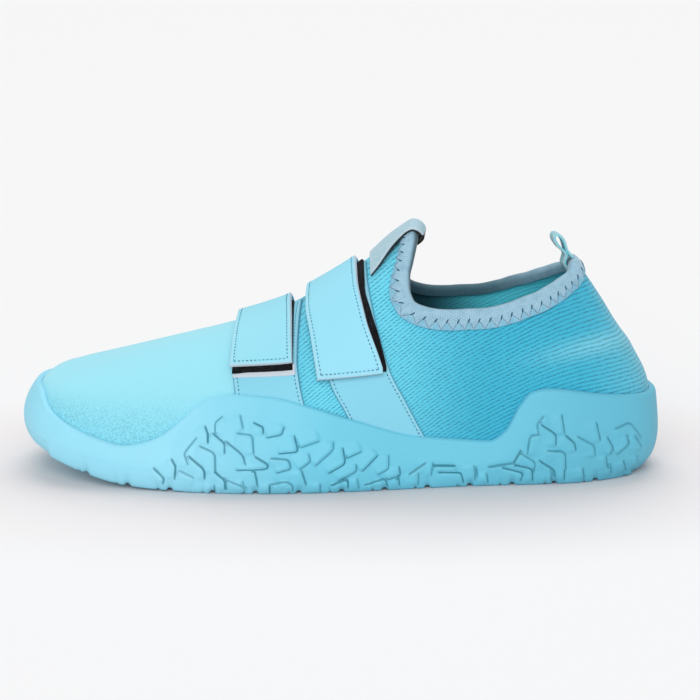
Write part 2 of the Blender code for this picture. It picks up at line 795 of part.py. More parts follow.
def block(shape, low, high):
    """Adds a block between two outlines to a bmesh."""
    bottom = [shape.verts.new(p) for p in placed(low)]
    top = [shape.verts.new(p) for p in placed(high)]
    count = len(bottom)
    shape.faces.new(bottom[::-1])
    shape.faces.new(top)
    for i in range(count):
        shape.faces.new((bottom[i], bottom[(i + 1) % count], top[(i + 1) % count], top[i]))


def make_tread_lugs(collection):
    """Slanted blocks under the sole, in rows that alternate between three and four across."""
    shape = bmesh.new()
    for row, middle in enumerate(np.arange(TREAD_FIRST, TREAD_LAST, TREAD_PITCH)):
        splits = np.linspace(-1, 1, 5 if row % 2 else 4)
        for start, end in zip(splits[:-1], splits[1:]):
            outline = []
            for across, length in ((start, -0.5), (end, -0.5), (end, 0.5), (start, 0.5)):
                lean = TREAD_LEAN * abs(across)
                along = middle + length * (TREAD_PITCH - TREAD_GAP) + lean
                u = spoke_at(along)
                sides = ring("side", u), ring("side", 1 - u)
                tuck = TREAD_TUCK * smooth_step((along - TREAD_TUCK_START) / TREAD_TUCK_RUN)
                half = (sides[1] - sides[0]) / 2 + TREAD_OVERHANG * (1 - tuck)
                side = (sides[0] + sides[1]) / 2 + across * half
                inner_end = abs(across) < 1
                side -= np.sign(across - (start + end) / 2) * TREAD_GAP / 2 * inner_end
                outline.append((along, side, spring(along)))
            low = np.array(outline)
            block(shape, low, low + [0, 0, LUG_HEIGHT + TREAD_SINK])
    return helper(finish(shape, "tread_lugs", None, collection))


def wall_point(along, height, raised, inner_side):
    """A point at a height on the rubber wall's outer face, or raised from it."""
    u = spoke_at(along)
    top = height_on_spoke([u], [wall_height(along)])[0]
    v = height_on_spoke([u], [height])[0]
    return skin(1 - u if inner_side else u, v, wall_out(along, v / top) + raised)


def make_side_lugs(collection):
    """Leaning plates on the rubber wall, in staggered rows beside the ball and round the heel."""
    shape = bmesh.new()
    for start, end in SIDE_LUG_FIELDS:
        for row, low in enumerate(np.arange(SIDE_LUG_FOOT, SIDE_LUG_TOP, SIDE_LUG_RISE)):
            high = low + SIDE_LUG_RISE - SIDE_LUG_GAP
            for front in np.arange(start + (row % 2) * SIDE_LUG_PITCH / 2, end, SIDE_LUG_PITCH):
                rear = front + SIDE_LUG_PITCH - SIDE_LUG_GAP
                if high > wall_height(np.array([front, rear])).min() - SIDE_LUG_MARGIN:
                    continue
                corners = (
                    (front, low),
                    (rear, low),
                    (rear - SIDE_LUG_LEAN, high),
                    (front - SIDE_LUG_LEAN, high),
                )
                for inner_side in (False, True):
                    plate = [
                        np.array([wall_point(a, h, raised, inner_side) for a, h in corners])
                        for raised in (-SIDE_LUG_SINK, SIDE_LUG_RAISED)
                    ]
                    block(shape, *plate)
    return helper(finish(shape, "side_lugs", None, collection))


def make_insole(collection, foam):
    """The footbed, a plate on the sole's floor inside the upper."""
    u = ring_positions()
    edge, outward = feather(u)
    inset = KNIT_WALL + 2 * GAP

    def level(height):
        points = edge - inset * outward
        return np.column_stack([points[:, :2], spring(edge[:, 0]) + SOLE_FLOOR + height])

    shape, verts = loft([level(GAP), level(GAP + INSOLE_THICKNESS)], wrap_columns=True)
    ladder(shape, verts[0], flip=True)
    ladder(shape, verts[-1], flip=False)
    return finish(shape, "insole", foam, collection)


def main():
    for obj in list(bpy.data.objects):
        bpy.data.objects.remove(obj)
    shoe = bpy.data.collections.new("training_shoe")
    cutters = bpy.data.collections.new("cutters")
    for group in (shoe, cutters):
        bpy.context.scene.collection.children.link(group)
    knit = material("knit", (0.13, 0.62, 0.75), 0.85)
    rubber = material("rubber", (0.30, 0.73, 0.87), 0.55)
    foam = material("foam", (0.16, 0.60, 0.72), 0.9)
    ribbing = material("ribbing", (0.42, 0.58, 0.68), 0.9)
    smooth = material("coated_strap", (0.35, 0.78, 0.92), 0.45)
    tape = material("hook_tape", (0.01, 0.012, 0.015), 0.9)
    ribbon = material("ribbon", (0.32, 0.74, 0.86), 0.7)
    make_sole(shoe, rubber, cutters)
    make_insole(shoe, foam)
    make_upper(shoe, knit, cutters)
    make_binding(shoe, ribbing)
    make_straps(shoe, smooth, tape, smooth)
    make_tab(shoe, ribbon)
    make_loop(shoe, ribbon)


if __name__ == "__main__":
    main()
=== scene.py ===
"""Looks of a slip-on training shoe, laid out as an add-on with one operator for each group of pieces.

Every piece is a grid whose vertices are moved onto the shoe's own form, the last: a ring of curves that climb
from the feather edge, where upper and sole meet, to the ridge along the top of the foot.
"""

import math

import bpy
import numpy as np
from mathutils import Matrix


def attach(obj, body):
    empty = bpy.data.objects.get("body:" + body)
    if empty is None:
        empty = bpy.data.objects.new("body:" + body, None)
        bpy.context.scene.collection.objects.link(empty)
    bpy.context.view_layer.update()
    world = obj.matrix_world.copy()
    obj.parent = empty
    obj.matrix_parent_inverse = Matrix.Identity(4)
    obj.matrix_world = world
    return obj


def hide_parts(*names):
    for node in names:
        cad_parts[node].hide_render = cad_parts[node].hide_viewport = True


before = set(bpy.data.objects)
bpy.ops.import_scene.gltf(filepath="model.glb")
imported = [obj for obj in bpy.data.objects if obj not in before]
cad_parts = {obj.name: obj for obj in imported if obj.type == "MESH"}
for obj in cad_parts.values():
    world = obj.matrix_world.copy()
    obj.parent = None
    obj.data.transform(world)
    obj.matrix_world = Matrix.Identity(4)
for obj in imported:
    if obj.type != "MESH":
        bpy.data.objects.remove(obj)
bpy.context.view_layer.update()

bl_info = {
    "name": "Training shoe",
    "version": (1, 0, 0),
    "blender": (4, 5, 0),
    "location": "View3D > Sidebar > Shoe",
    "description": "Builds the finished surfaces of a slip-on training shoe with two straps",
    "category": "Object",
}

mm = 0.001

# Driving sizes of the shoe, the same as those of its solids
SOLE_LENGTH = 278 * mm
SOLE_MIDDLE = -1.67 * mm
LAST_LENGTH = 266.5 * mm
LAST_TOE = 5.2 * mm
BALL_WIDTH = 92 * mm
INSTEP_HEIGHT = 105 * mm
TOE_SPRING = 14.5 * mm
SPRING_START = 85 * mm
SPRING_POWER = 1.7
KNIT_WALL = 2.0 * mm
GAP = 0.3 * mm
WALL_GAP = 0.55 * mm
SOLE_FLOOR = 8.0 * mm

# The last: one row for each spoke, toe to heel.  along is a share of LAST_LENGTH; lateral and medial are
# shares of BALL_WIDTH; ridge is where the spoke meets the ridge, in mm from the toe; low_rise is the share
# of the height that the wall climbs before it turns in; bulge is how far it swells past the feather edge,
# in mm; crown is the share of the width over which the top stays flat.
LAST_COLUMNS = ("along", "lateral", "medial", "ridge", "low_rise", "bulge", "crown")
LAST_ROWS = (
    (0.000, -0.06, 0.06, 38.0, 0.66, 2.0, 0.72),
    (0.015, 0.165, 0.290, 38.5, 0.68, 2.0, 0.72),
    (0.063, 0.330, 0.405, 41.0, 0.68, 2.0, 0.72),
    (0.149, 0.437, 0.472, 50.0, 0.62, 2.5, 0.70),
    (0.261, 0.502, 0.493, 75.0, 0.56, 3.0, 0.66),
    (0.373, 0.528, 0.467, 105.0, 0.50, 3.0, 0.66),
    (0.485, 0.507, 0.404, 135.0, 0.43, 3.0, 0.72),
    (0.597, 0.452, 0.350, 165.0, 0.37, 3.0, 0.76),
    (0.709, 0.398, 0.330, 193.0, 0.36, 4.0, 0.80),
    (0.821, 0.366, 0.334, 205.0, 0.34, 5.5, 0.72),
    (0.922, 0.313, 0.302, 210.0, 0.30, 8.0, 0.52),
    (0.988, 0.194, 0.190, 212.0, 0.25, 12.0, 0.35),
    (1.005, 0.000, 0.000, 212.0, 0.24, 13.0, 0.31),
)

# The ridge along the top of the foot, closed over the collar opening
RIDGE_COLUMNS = ("along_mm", "height_share", "sideways_mm")
RIDGE_ROWS = (
    (38, 0.459, 5.0),
    (60, 0.513, 5.0),
    (90, 0.586, 4.0),
    (105, 0.627, 3.5),
    (117, 0.668, 3.0),
    (125, 0.708, 2.5),
    (145, 0.824, 1.0),
    (157, 0.906, 0.5),
    (169, 0.990, 0.0),
    (180, 1.065, 0.0),
    (193, 1.140, 0.0),
    (203, 1.160, 0.0),
    (212, 1.115, 0.0),
)

# Top edge of the rubber wall: a bumper at the toe, a hump beside the ball, a low waist and a heel cup
SIDEWALL_COLUMNS = ("along_mm", "height_mm")
SIDEWALL_ROWS = (
    (5, 37.0),
    (9, 36.2),
    (13, 32.6),
    (18, 28.6),
    (26, 24.7),
    (37, 21.0),
    (48, 18.8),
    (57, 20.4),
    (65, 23.7),
    (72, 29.0),
    (80, 35.6),
    (87, 39.0),
    (96, 40.2),
    (112, 39.4),
    (126, 36.2),
    (145, 30.4),
    (169, 23.2),
    (188, 20.7),
    (202, 19.6),
    (208, 23.2),
    (215, 34.8),
    (220, 40.0),
    (227, 41.4),
    (252, 38.2),
    (273, 35.5),
)
WALL_FOOT = 4.8 * mm
WALL_FOOT_HEEL = 3.0 * mm
WALL_LIP_FRONT = 1.7 * mm
WALL_LIP_HEEL = 2.2 * mm
WALL_LIP_CHANGE = 190 * mm
WALL_LIP_CHANGE_RUN = 50 * mm

# The rounded bottom edge of the sole, from the wall's foot (0) to the tread (1): how far it stands out from
# the feather edge and how high it lies, on a lug and in a groove, and how far the heel draws it in.  The lug
# plates of the wall fade out on the way.
BOTTOM_COLUMNS = ("way", "lug_out", "lug_height", "groove_out", "groove_height", "heel_in")
BOTTOM_ROWS = (
    (0.00, 4.8, 8.3, 4.8, 8.3, 0.0),
    (0.35, 4.6, 5.0, 4.3, 5.3, 1.6),
    (0.65, 4.0, 2.4, 3.0, 3.2, 3.2),
    (0.85, 3.0, 0.5, 1.6, 2.4, 3.8),
    (1.00, 2.0, 0.0, 0.6, 2.2, 4.0),
)
BOTTOM_RELIEF_END = 0.95
BOTTOM_RELIEF_FADE = 0.4

# How the heel draws in at the bottom and flares above the sole
HEEL_ROUNDING_START = 235 * mm
HEEL_ROUNDING_RUN = 35 * mm
HEEL_FLARE = 2.6 * mm
HEEL_FLARE_CLIMB = 0.30
HEEL_FLARE_SPREAD = (0.05, 0.10)

# The tread: rows of lugs, three and four across in turn, nicks in its rim at distances from the toe in mm,
# and the sag below the spring of the toe
TREAD_FIRST = 27 * mm
TREAD_ROWS = 14
TREAD_LUGS = (3, 4)
TREAD_PITCH = 18.0 * mm
TREAD_GAP = 2.2 * mm
TREAD_LEAN = -4.0 * mm
TREAD_BEVEL = 1.4 * mm
TREAD_MIDDLE = (48 * mm, 236 * mm)
TREAD_HALF_LEAST = 5 * mm
TREAD_NICKS = (4, 11, 29, 45, 63, 82, 99, 118, 135, 153, 171, 189, 207, 226, 243, 261)
NICK_GAP = 0.9 * mm
NICK_DEPTH = 0.55
NICK_BEVEL = 0.9 * mm
NICK_START = 0.82
NICK_RUN = 0.1
NOTCH_DEPTH = 0.5
NOTCH_RUN = 0.3
TOE_SAG = 1.8 * mm
TOE_SAG_MIDDLE = 44 * mm
TOE_SAG_RUN = 20 * mm

# Lug plates on the rubber wall, charted on the outer side: distance from the toe and height of the
# ends and bends of each crevice, in mm.  The plate that stands proud is on the right hand along the stroke.
LUG_FIELDS = ((58 * mm, 218 * mm), (206 * mm, 272 * mm))
LUG_STROKES = (
    ((87, 3.5), (87, 1)),
    ((91.5, 7), (92, 3)),
    ((99, 5.5), (99.5, 2)),
    ((110, 4), (110, 1)),
    ((111, 5), (117, 6), (119.5, 4.5), (119.5, 2)),
    ((131, 4), (131, 1)),
    ((136, 4), (142.5, 6.5), (142.5, 3)),
    ((146.5, 5.5), (147, 2.5)),
    ((150, 3.5), (158, 6), (159, 2.5)),
    ((163.5, 7), (164, 3)),
    ((172, 7), (172, 3)),
    ((181, 7.5), (190, 7), (191, 3)),
    ((195.5, 9), (196, 4)),
    ((201, 5.5), (201.5, 2.5)),
    ((213, 9.5), (220, 8), (220.5, 3)),
    ((228, 6.5), (228.5, 2.5)),
    ((234, 6.5), (234, 3)),
    ((242, 6.5), (242.5, 3)),
    ((254, 7.5), (254.5, 4)),
    ((260, 8), (261, 4.5)),
    ((266, 9.5), (266.5, 5.5)),
    ((62, 10.5), (66, 6.5), (65.5, 4.5)),
    ((69.5, 14.5), (71, 12), (70.5, 7)),
    ((79.5, 23.5), (74.5, 17.5), (76, 13.5)),
    ((83.5, 28), (84.5, 25.5), (84.5, 22.5)),
    ((87.5, 26.5), (87.5, 30), (90, 32)),
    ((81.5, 20.5), (87.5, 18), (87.5, 10.5)),
    ((77, 16), (83, 11), (83, 7.5)),
    ((73, 10), (78, 7.5)),
    ((87, 25.5), (91.5, 22), (91.5, 18.5)),
    ((92.5, 22.5), (99, 17.5), (100, 14)),
    ((98, 32.5), (99, 28.5)),
    ((104, 30), (107.5, 28.5), (107.5, 26.5)),
    ((97, 26), (103, 25.5), (103.5, 18.5)),
    ((116, 28), (115, 25.5), (109.5, 24.5)),
    ((120.5, 24.5), (122, 18.5), (114.5, 18)),
    ((130, 22.5), (123.5, 20.5)),
    ((104.5, 16.5), (109.5, 13.5), (109, 11.5), (97, 11)),
    ((111, 16), (118, 15.5), (119, 11.5), (113.5, 10)),
    ((126.5, 17), (127, 14.5), (123, 11.5)),
    ((87.5, 10), (91.5, 6.5), (91.5, 3)),
    ((92.5, 6.5), (100, 3.5)),
    ((104, 10.5), (105, 4.5)),
    ((123.5, 10), (125, 5)),
    ((136.5, 21.5), (136.5, 19), (129.5, 13)),
    ((140.5, 19), (141.5, 13), (135, 9.5)),
    ((147.5, 17.5), (142.5, 15.5)),
    ((146, 12), (146, 9.5), (139, 6)),
    ((154.5, 15.5), (149, 10)),
    ((159.5, 15), (159.5, 10), (155.5, 8)),
    ((164, 10), (164.5, 7), (159.5, 5.5)),
    ((168.5, 7.5), (174.5, 11.5)),
    ((178, 11), (177.5, 7)),
    ((178.5, 10.5), (187, 10)),
    ((196.5, 8.5), (197, 5.5)),
    ((202, 9), (212.5, 10.5)),
    ((208, 8.5), (216.5, 6), (215.5, 3)),
    ((222.5, 23), (222, 27), (224.5, 30)),
    ((224, 26.5), (230, 22.5), (230, 18.5)),
    ((232.5, 30), (233.5, 23.5)),
    ((218, 15), (219, 22), (222.5, 22.5)),
    ((234.5, 21.5), (238, 18.5), (238.5, 16)),
    ((239.5, 21), (246.5, 17), (247, 13)),
    ((247.5, 26), (249, 19.5)),
    ((252.5, 19.5), (255, 15), (254, 13)),
    ((256, 23.5), (262, 25.5), (267, 19)),
    ((261, 19.5), (262, 16), (257.5, 12.5)),
    ((264.5, 19), (267.5, 14.5)),
    ((227, 15.5), (234, 15), (234.5, 7.5)),
    ((212.5, 11), (215, 15.5)),
    ((215.5, 14.5), (221.5, 10.5), (221, 7)),
    ((223.5, 11), (229.5, 7), (230, 4.5)),
    ((252, 11), (252.5, 7)),
)
LUG_RUN = 6.5 * mm
LUG_STEP = 1.3 * mm
LUG_FALL = 1.3
LUG_CORNER_CUT = 0.15
LUG_TRENCH = 0.3 * mm
CREVICE_WIDTH = 0.9 * mm
# How dark the painted shade along each crevice is, and how it swings from stroke to stroke
CREVICE_STRENGTH = 0.8
CREVICE_STRENGTH_SWING = 0.2
CREVICE_STRENGTH_TURN = 2.4
LUG_FADE = 1.6 * mm
LUG_NEAR = 2.0 * mm

# Edge of the collar opening, from its peak at the instep down and round to the heel.  ring is the spoke's
# share of the way round the last, 0 at the toe and 0.5 at the heel, and climb is how far up it the edge lies.
COLLAR_COLUMNS = ("ring", "climb")
COLLAR_ROWS = (
    (0.2995, 1.000),
    (0.2988, 0.930),
    (0.2978, 0.840),
    (0.2960, 0.753),
    (0.2945, 0.695),
    (0.2948, 0.635),
    (0.2975, 0.573),
    (0.3050, 0.525),
    (0.3150, 0.490),
    (0.3280, 0.465),
    (0.3430, 0.457),
    (0.3580, 0.470),
    (0.3760, 0.515),
    (0.3970, 0.578),
    (0.4210, 0.622),
    (0.4600, 0.646),
    (0.5000, 0.652),
)
BINDING_HEEL_SHARE = 0.2
BINDING_SLACK = 0.8 * mm
BINDING_PUFF = 0.35 * mm
BINDING_ROUNDNESS = 0.7
BINDING_THIN_START = 0.5
BINDING_THIN_RUN = 0.4
BINDING_THINNING = 0.4

# The two closing straps.  girth runs up the outer side from 0 at the feather edge to 1 on the ridge, and on
# down the inner side to 2; front_mm and rear_mm are the strip's edges there, along the shoe.
STRIP_COLUMNS = ("girth", "front_mm", "rear_mm")
STRIP_SKEW = -0.038
STRIP_CLEARANCE = 1.2 * mm
FRONT_STRAP_ROWS = (
    (0.527, 93.3, 119.7),
    (0.75, 94.4, 119.6),
    (1.00, 95.4, 119.0),
    (2.00, 95.0, 119.0),
)
FRONT_TAPE_ROWS = (
    (0.498, 94.0, 119.6),
    (0.75, 95.8, 119.7),
    (0.95, 97.2, 119.6),
)
FRONT_BASE_ROWS = (
    (0.00, 101.0, 133.0),
    (0.41, 95.4, 122.4),
    (0.52, 94.4, 121.4),
    (0.95, 97.0, 122.6),
)
REAR_STRAP_ROWS = (
    (0.381, 129.9, 156.6),
    (0.59, 127.6, 150.3),
    (0.80, 125.7, 147.7),
    (1.00, 126.0, 147.5),
    (2.00, 134.0, 160.0),
)
REAR_TAPE_ROWS = (
    (0.386, 131.0, 158.2),
    (0.49, 129.8, 155.6),
    (0.60, 128.8, 152.6),
    (0.74, 127.6, 150.0),
    (0.95, 127.4, 149.8),
)
REAR_BASE_ROWS = (
    (0.00, 153.0, 182.0),
    (0.25, 141.0, 166.2),
    (0.37, 135.0, 159.6),
    (0.60, 129.4, 153.4),
    (0.80, 128.0, 150.8),
    (0.95, 127.8, 150.4),
)
STRAP_EASE_START = 1.05
STRAP_EASE_RUN = 0.25

# The tab that folds over the peak of the collar: climb is where its edges lie on the spokes it crosses
TAB_COLUMNS = ("feather_mm", "climb", "stand_off_mm")
TAB_ROWS = (
    (152.4, 0.792, 0.5),
    (156.0, 0.812, 1.1),
    (160.0, 0.845, 1.8),
    (164.0, 0.880, 2.1),
    (168.6, 0.900, 1.9),
)
TAB_GAP = 0.75 * mm
TAB_FOLD_RISE = 0.6 * mm
TAB_FOLD_INSIDE = 0.9 * mm
TAB_OUTER_BEND = 0.6 * mm
TAB_INNER_BEND = 0.4 * mm
TAB_INNER_LEG = (-3.5 * mm, -7.0 * mm)

# The pull loop at the heel, seen from the side: out from the collar's outer face, and up beyond its edge
LOOP_COLUMNS = ("out_mm", "up_mm")
LOOP_ROWS = (
    (-0.3, 2.1),
    (-0.5, 4.5),
    (-0.4, 6.5),
    (0.4, 8.5),
    (1.0, 11.0),
    (0.7, 13.4),
    (-0.5, 14.7),
    (-1.7, 13.8),
    (-2.3, 11.5),
    (-2.3, 9.0),
    (-1.8, 6.8),
    (-1.9, 4.9),
    (-3.4, 3.6),
    (-4.8, 2.4),
    (-5.0, 0.6),
    (-5.0, -6.0),
)

# Feet of the upper's columns in front of the collar's lower edge, which starts at a row of its table: way is
# 0 at the toe and 1 where a column's top reaches the collar's peak, and ring is the spoke that it stands on
UPPER_FOOT_COLUMNS = ("way", "ring")
UPPER_FOOT_ROWS = (
    (0.00, 0.0),
    (0.60, 0.1797),
    (1.00, 0.262),
    (1.25, 0.2715),
)
COLLAR_LOW_ROW = 7

# Soft creases of the upper: middle along the shoe and up the girth, length and width of the trough, its turn
# from the girth's direction in degrees, and its depth, negative for a ridge
CREASE_COLUMNS = ("along_mm", "girth", "length_mm", "width_mm", "turn", "depth_mm")
CREASE_ROWS = (
    (86, 0.80, 34, 5.0, 12, 0.45),
    (79, 0.86, 30, 5.5, 8, -0.35),
    (125, 0.50, 30, 3.5, -14, 0.55),
    (176, 0.42, 30, 6.0, -52, 0.50),
    (184, 0.34, 30, 7.0, -58, -0.40),
    (222, 0.60, 26, 8.0, 70, 0.40),
    (246, 0.50, 40, 9.0, 80, 1.10),
    (256, 0.41, 46, 9.0, 84, -1.80),
)

# Zones of the knit, along the shoe: the darker quarter, its open mesh, the mesh low beside the toes, the
# height of a ridge at which it is fully paler, partly as stretched knit and partly as a painted highlight,
# the ribs round the heel, and how steeply courses climb to the heel
QUARTER_START = 100 * mm
QUARTER_RUN = 30 * mm
MESH_START = 112 * mm
MESH_RUN = 10 * mm
MESH_TOE = 100 * mm
MESH_TOE_RUN = 40 * mm
MESH_TOE_CLIMB = 0.5
MESH_TOE_CLIMB_RUN = 0.35
MESH_TOE_SHARE = 0.7
STRETCH_HIGHLIGHT_DEPTH = 2.0 * mm
RIBS_START = 186 * mm
RIBS_RUN = 20 * mm
COURSE_SLOPE_COLUMNS = ("along_mm", "slope")
COURSE_SLOPE_ROWS = (
    (100, 0.80),
    (165, 0.78),
    (190, 0.56),
    (215, 0.46),
    (235, 0.26),
    (250, 0.14),
    (278, 0.06),
)

# Where the knit is eased over the toes, and how often
TOE_EASE_ALONG = 75 * mm
TOE_EASE_HEIGHT = 44 * mm
TOE_EASE_FACTOR = 0.5
TOE_EASE_REPEAT = 10

# The footbed from the middle of its top over its edge to the middle of its underside
FOOTBED_COLUMNS = ("share_out", "height_mm")
FOOTBED_ROWS = (
    (0.00, 3.0),
    (0.35, 3.0),
    (0.65, 3.1),
    (0.85, 3.4),
    (0.94, 3.7),
    (0.98, 3.5),
    (1.00, 2.9),
    (1.00, 0.3),
    (0.98, 0.0),
    (0.50, 0.0),
    (0.00, 0.0),
)

# Finish of the sewn pieces
FRONT_STRIPE_ROWS = (
    (0.474, 94.6, 120.6),
    (0.512, 94.4, 120.4),
)
STRIPE_THICKNESS = 0.7 * mm
EDGE_ROUNDING = 0.45 * mm
BINDING_INNER_SEEN = 0.35
BINDING_PEAK_SHARE = 0.34
BINDING_PEAK_RUN = 0.14
BINDING_PEAK_EASE = 0.26
ZIGZAG_TOP = 0.5
ZIGZAG_BOTTOM = 0.97
TICK_LEAN = 0.5 * mm
TICK_SHARE = 0.13
TICK_THREADS = 1.5
STITCH_RISE = 0.12 * mm
SEAM_DEPTH = 0.2 * mm
BASE_TUCK = 4.0 * mm
LIP_CONTACT = 0.12 * mm
SEAM_WIDTH = 0.55 * mm
TAB_WIDTH = 22 * mm
TAB_TURN = 1.0 * mm
LOOP_TWIST = math.radians(-6)

# Yarns, knit loops and cut edges of the finishes; grains and drift are lumps to the metre
SIDE_COURSES = {"Course": 1.72 * mm, "Loop": 1.7 * mm}
TOE_COURSES = {"Course": 1.2 * mm, "Loop": 1.3 * mm}
LINING_COURSES = {"Course": 1.8 * mm, "Loop": 1.2 * mm}
COURSE_WOBBLE = 1.1 * mm
TAPE_WEAVE = {"Warp": 1.2 * mm, "Weft": 1.1 * mm}
BINDING_WEAVE = {"Warp": 1.0 * mm, "Weft": 1.2 * mm}
RIBBON_WEAVE = {"Warp": 0.8 * mm, "Weft": 0.7 * mm}
RUBBER_GRAIN = {"Grains": 1300.0, "Drift": 22.0}
STRAP_GRAIN = {"Grains": 1600.0, "Drift": 26.0}
FOOTBED_GRAIN = {"Grains": 1100.0, "Drift": 40.0}
STRAP_EDGE = {"Rim": 0.3 * mm, "Band": 2.1 * mm}
# On the bases the rim is a painted shadow
BASE_EDGE = {"Rim": 0.5 * mm, "Band": 2.1 * mm}
RIBBON_EDGE = {"Rim": 0.4 * mm, "Band": 1.2 * mm}
EDGE_WOBBLE = 0.3 * mm
HEEL_SEAM = (1.0 * mm, 1.6 * mm)

# Where colours change along the shoe, as distances from the toe; those of the rubber, the knit at the heel,
# the lining and the binding's inside are painted light and shade
RUBBER_TOE_LIGHT_ZONE = (54 * mm, 139 * mm)
RUBBER_HEEL_SHADE_ZONE = (179 * mm, 259 * mm)
QUARTER_FRONT_ZONE = (149 * mm, 204 * mm)
KNIT_HEEL_HIGHLIGHT_ZONE = (239 * mm, 269 * mm)
LINING_SHADE_ZONE = (174 * mm, 214 * mm)
STRAP_ZONE = (89 * mm, 169 * mm)
BINDING_SHADE_ZONE = (199 * mm, 239 * mm)

# The studio: middle of the picture, floor with a painted shadow under the shoe, and the lights' turns
# in degrees
PICTURE_MIDDLE = (0.0044, 0.00167, 0.0506)
FLOOR_SIZE = 120.0
FLOOR_SHADOW_SIZE = (0.20, 0.12)
FLOOR_SHADOW_FADE = (0.4, 1.4)
KEY_TURN = (60, 0, -8)
BACK_TURN = (-32, 0, 0)
LIGHT_SPREAD = math.radians(50)
SENSOR_WIDTH = 36.0
CLIP_START = 0.01

# Resolution of the grids, and places of their rows where these are uneven
SOLE_STATIONS = 880
FOOTBED_STATIONS = 200
SOLE_WALL_ROWS = 46
TREAD_GRID_ROWS = 40
UPPER_STATIONS = 420
UPPER_ROWS = 76
BINDING_STATIONS = 420
SOLE_FLOOR_SHARES = (1.0, 0.6, 0.25, 0.0)
SOLE_INSIDE_SHARES = np.linspace(0.15, 1, 5)
SOLE_LIP_TURNS = (15, 32, 50, 68)
SOLE_BOTTOM_WAYS = (0.12, 0.24, 0.36, 0.48, 0.6, 0.7, 0.8, 0.9, 1.0)
BINDING_OUTER_SHARES = (0.95, 0.88, 0.78, 0.66, 0.54, 0.42, 0.3, 0.18, 0.08, 0.0)
BINDING_INNER_SHARES = (0.0, 0.2, 0.4, 0.6, 0.8, 0.94, 1.0)
BINDING_FOLD_TURNS = 12
ROUNDING_STEPS = np.array([0.0, 0.12, 0.35, 0.65, 1.0, 1.6])
TAB_CELLS = 26
TAB_OUTER_ROWS = 6
RIBBON_CELLS = 60
CELL = 1.0 * mm
WELD = 0.004 * mm
SMOOTH_ANGLE = math.radians(50)

# Origin of the part, on the floor under its middle, measured from the toe's end
ORIGIN = np.array([SOLE_LENGTH / 2, SOLE_MIDDLE, 0])


def columns(names, rows):
    """A table's columns by name, as arrays."""
    return dict(zip(names, np.array(rows, float).T))


def smooth_step(t):
    t = np.clip(t, 0.0, 1.0)
    return t * t * (3 - 2 * t)


def through(xs, ys, x):
    """A smooth curve through a table's points that never overshoots them."""
    width = np.diff(xs)
    rise = np.diff(ys) / width
    slope = np.concatenate([[rise[0]], np.zeros(len(xs) - 2), [rise[-1]]])
    same_way = rise[:-1] * rise[1:] > 0
    both = np.where(same_way, rise[:-1] * rise[1:], 0.0)
    slope[1:-1] = np.where(same_way, 2 * both / np.where(same_way, rise[:-1] + rise[1:], 1.0), 0.0)
    x = np.clip(x, xs[0], xs[-1])
    i = np.clip(np.searchsorted(xs, x) - 1, 0, len(xs) - 2)
    t = (x - xs[i]) / width[i]
    start = ys[i] * (1 + 2 * t) * (1 - t) ** 2 + ys[i + 1] * t * t * (3 - 2 * t)
    return start + width[i] * (slope[i] * t * (1 - t) ** 2 - slope[i + 1] * t * t * (1 - t))


def round_the_ring(values, r):
    """A smooth closed curve through values, which stand at r = 0, 1, 2 and so on."""
    count = len(values)
    step = np.eye(count)
    bend = np.linalg.solve(
        4 * step + np.roll(step, 1, 0) + np.roll(step, -1, 0),
        6 * (np.roll(values, -1) - 2 * values + np.roll(values, 1)),
    )
    i = np.floor(r).astype(int) % count
    j = (i + 1) % count
    t = r - np.floor(r)
    line = (values[i] - bend[i] / 6) * (1 - t) + (values[j] - bend[j] / 6) * t
    return line + (bend[i] * (1 - t) ** 3 + bend[j] * t**3) / 6


def ring_column(lateral, medial):
    """One value a spoke, round the ring: toe, outer side, heel, inner side."""
    return np.concatenate([lateral, medial[-2:0:-1]])


LAST = columns(LAST_COLUMNS, LAST_ROWS)
RIDGE = columns(RIDGE_COLUMNS, RIDGE_ROWS)
SIDEWALL = columns(SIDEWALL_COLUMNS, SIDEWALL_ROWS)
BOTTOM = columns(BOTTOM_COLUMNS, BOTTOM_ROWS)
COLLAR = columns(COLLAR_COLUMNS, COLLAR_ROWS)
TAB = columns(TAB_COLUMNS, TAB_ROWS)
COURSE_SLOPE = columns(COURSE_SLOPE_COLUMNS, COURSE_SLOPE_ROWS)
LOOP = columns(LOOP_COLUMNS, LOOP_ROWS)
RING_ROWS = 2 * (len(LAST_ROWS) - 1)
RING = {
    "along": ring_column(LAST["along"], LAST["along"]) * LAST_LENGTH + LAST_TOE,
    "side": ring_column(-LAST["lateral"], LAST["medial"]) * BALL_WIDTH,
    "ridge": ring_column(LAST["ridge"], LAST["ridge"]) * mm,
    "low_rise": ring_column(LAST["low_rise"], LAST["low_rise"]),
    "bulge": ring_column(LAST["bulge"], LAST["bulge"]) * mm,
    "crown": ring_column(LAST["crown"], LAST["crown"]),
}
RING["side"][0] = LAST["medial"][0] * BALL_WIDTH


def ring(name, u):
    """A property of the spoke at u: 0 at the toe, by the outer side to 0.5 at the heel, and on to 1."""
    return round_the_ring(RING[name], np.asarray(u, float) * RING_ROWS)


def spring(along):
    """How far the toe lifts the sole off the floor."""
    lift = np.clip((SPRING_START - along) / SPRING_START, 0.0, None)
    return TOE_SPRING * lift**SPRING_POWER


def ridge_point(along):
    """Points of the ridge and its slope there."""
    xs = RIDGE["along_mm"] * mm
    zs = RIDGE["height_share"] * INSTEP_HEIGHT
    step = 0.5 * mm
    height = through(xs, zs, along)
    slope = (through(xs, zs, along + step) - through(xs, zs, along - step)) / (2 * step)
    side = through(xs, RIDGE["sideways_mm"] * mm, along)
    return np.stack([along, side, height], -1), slope


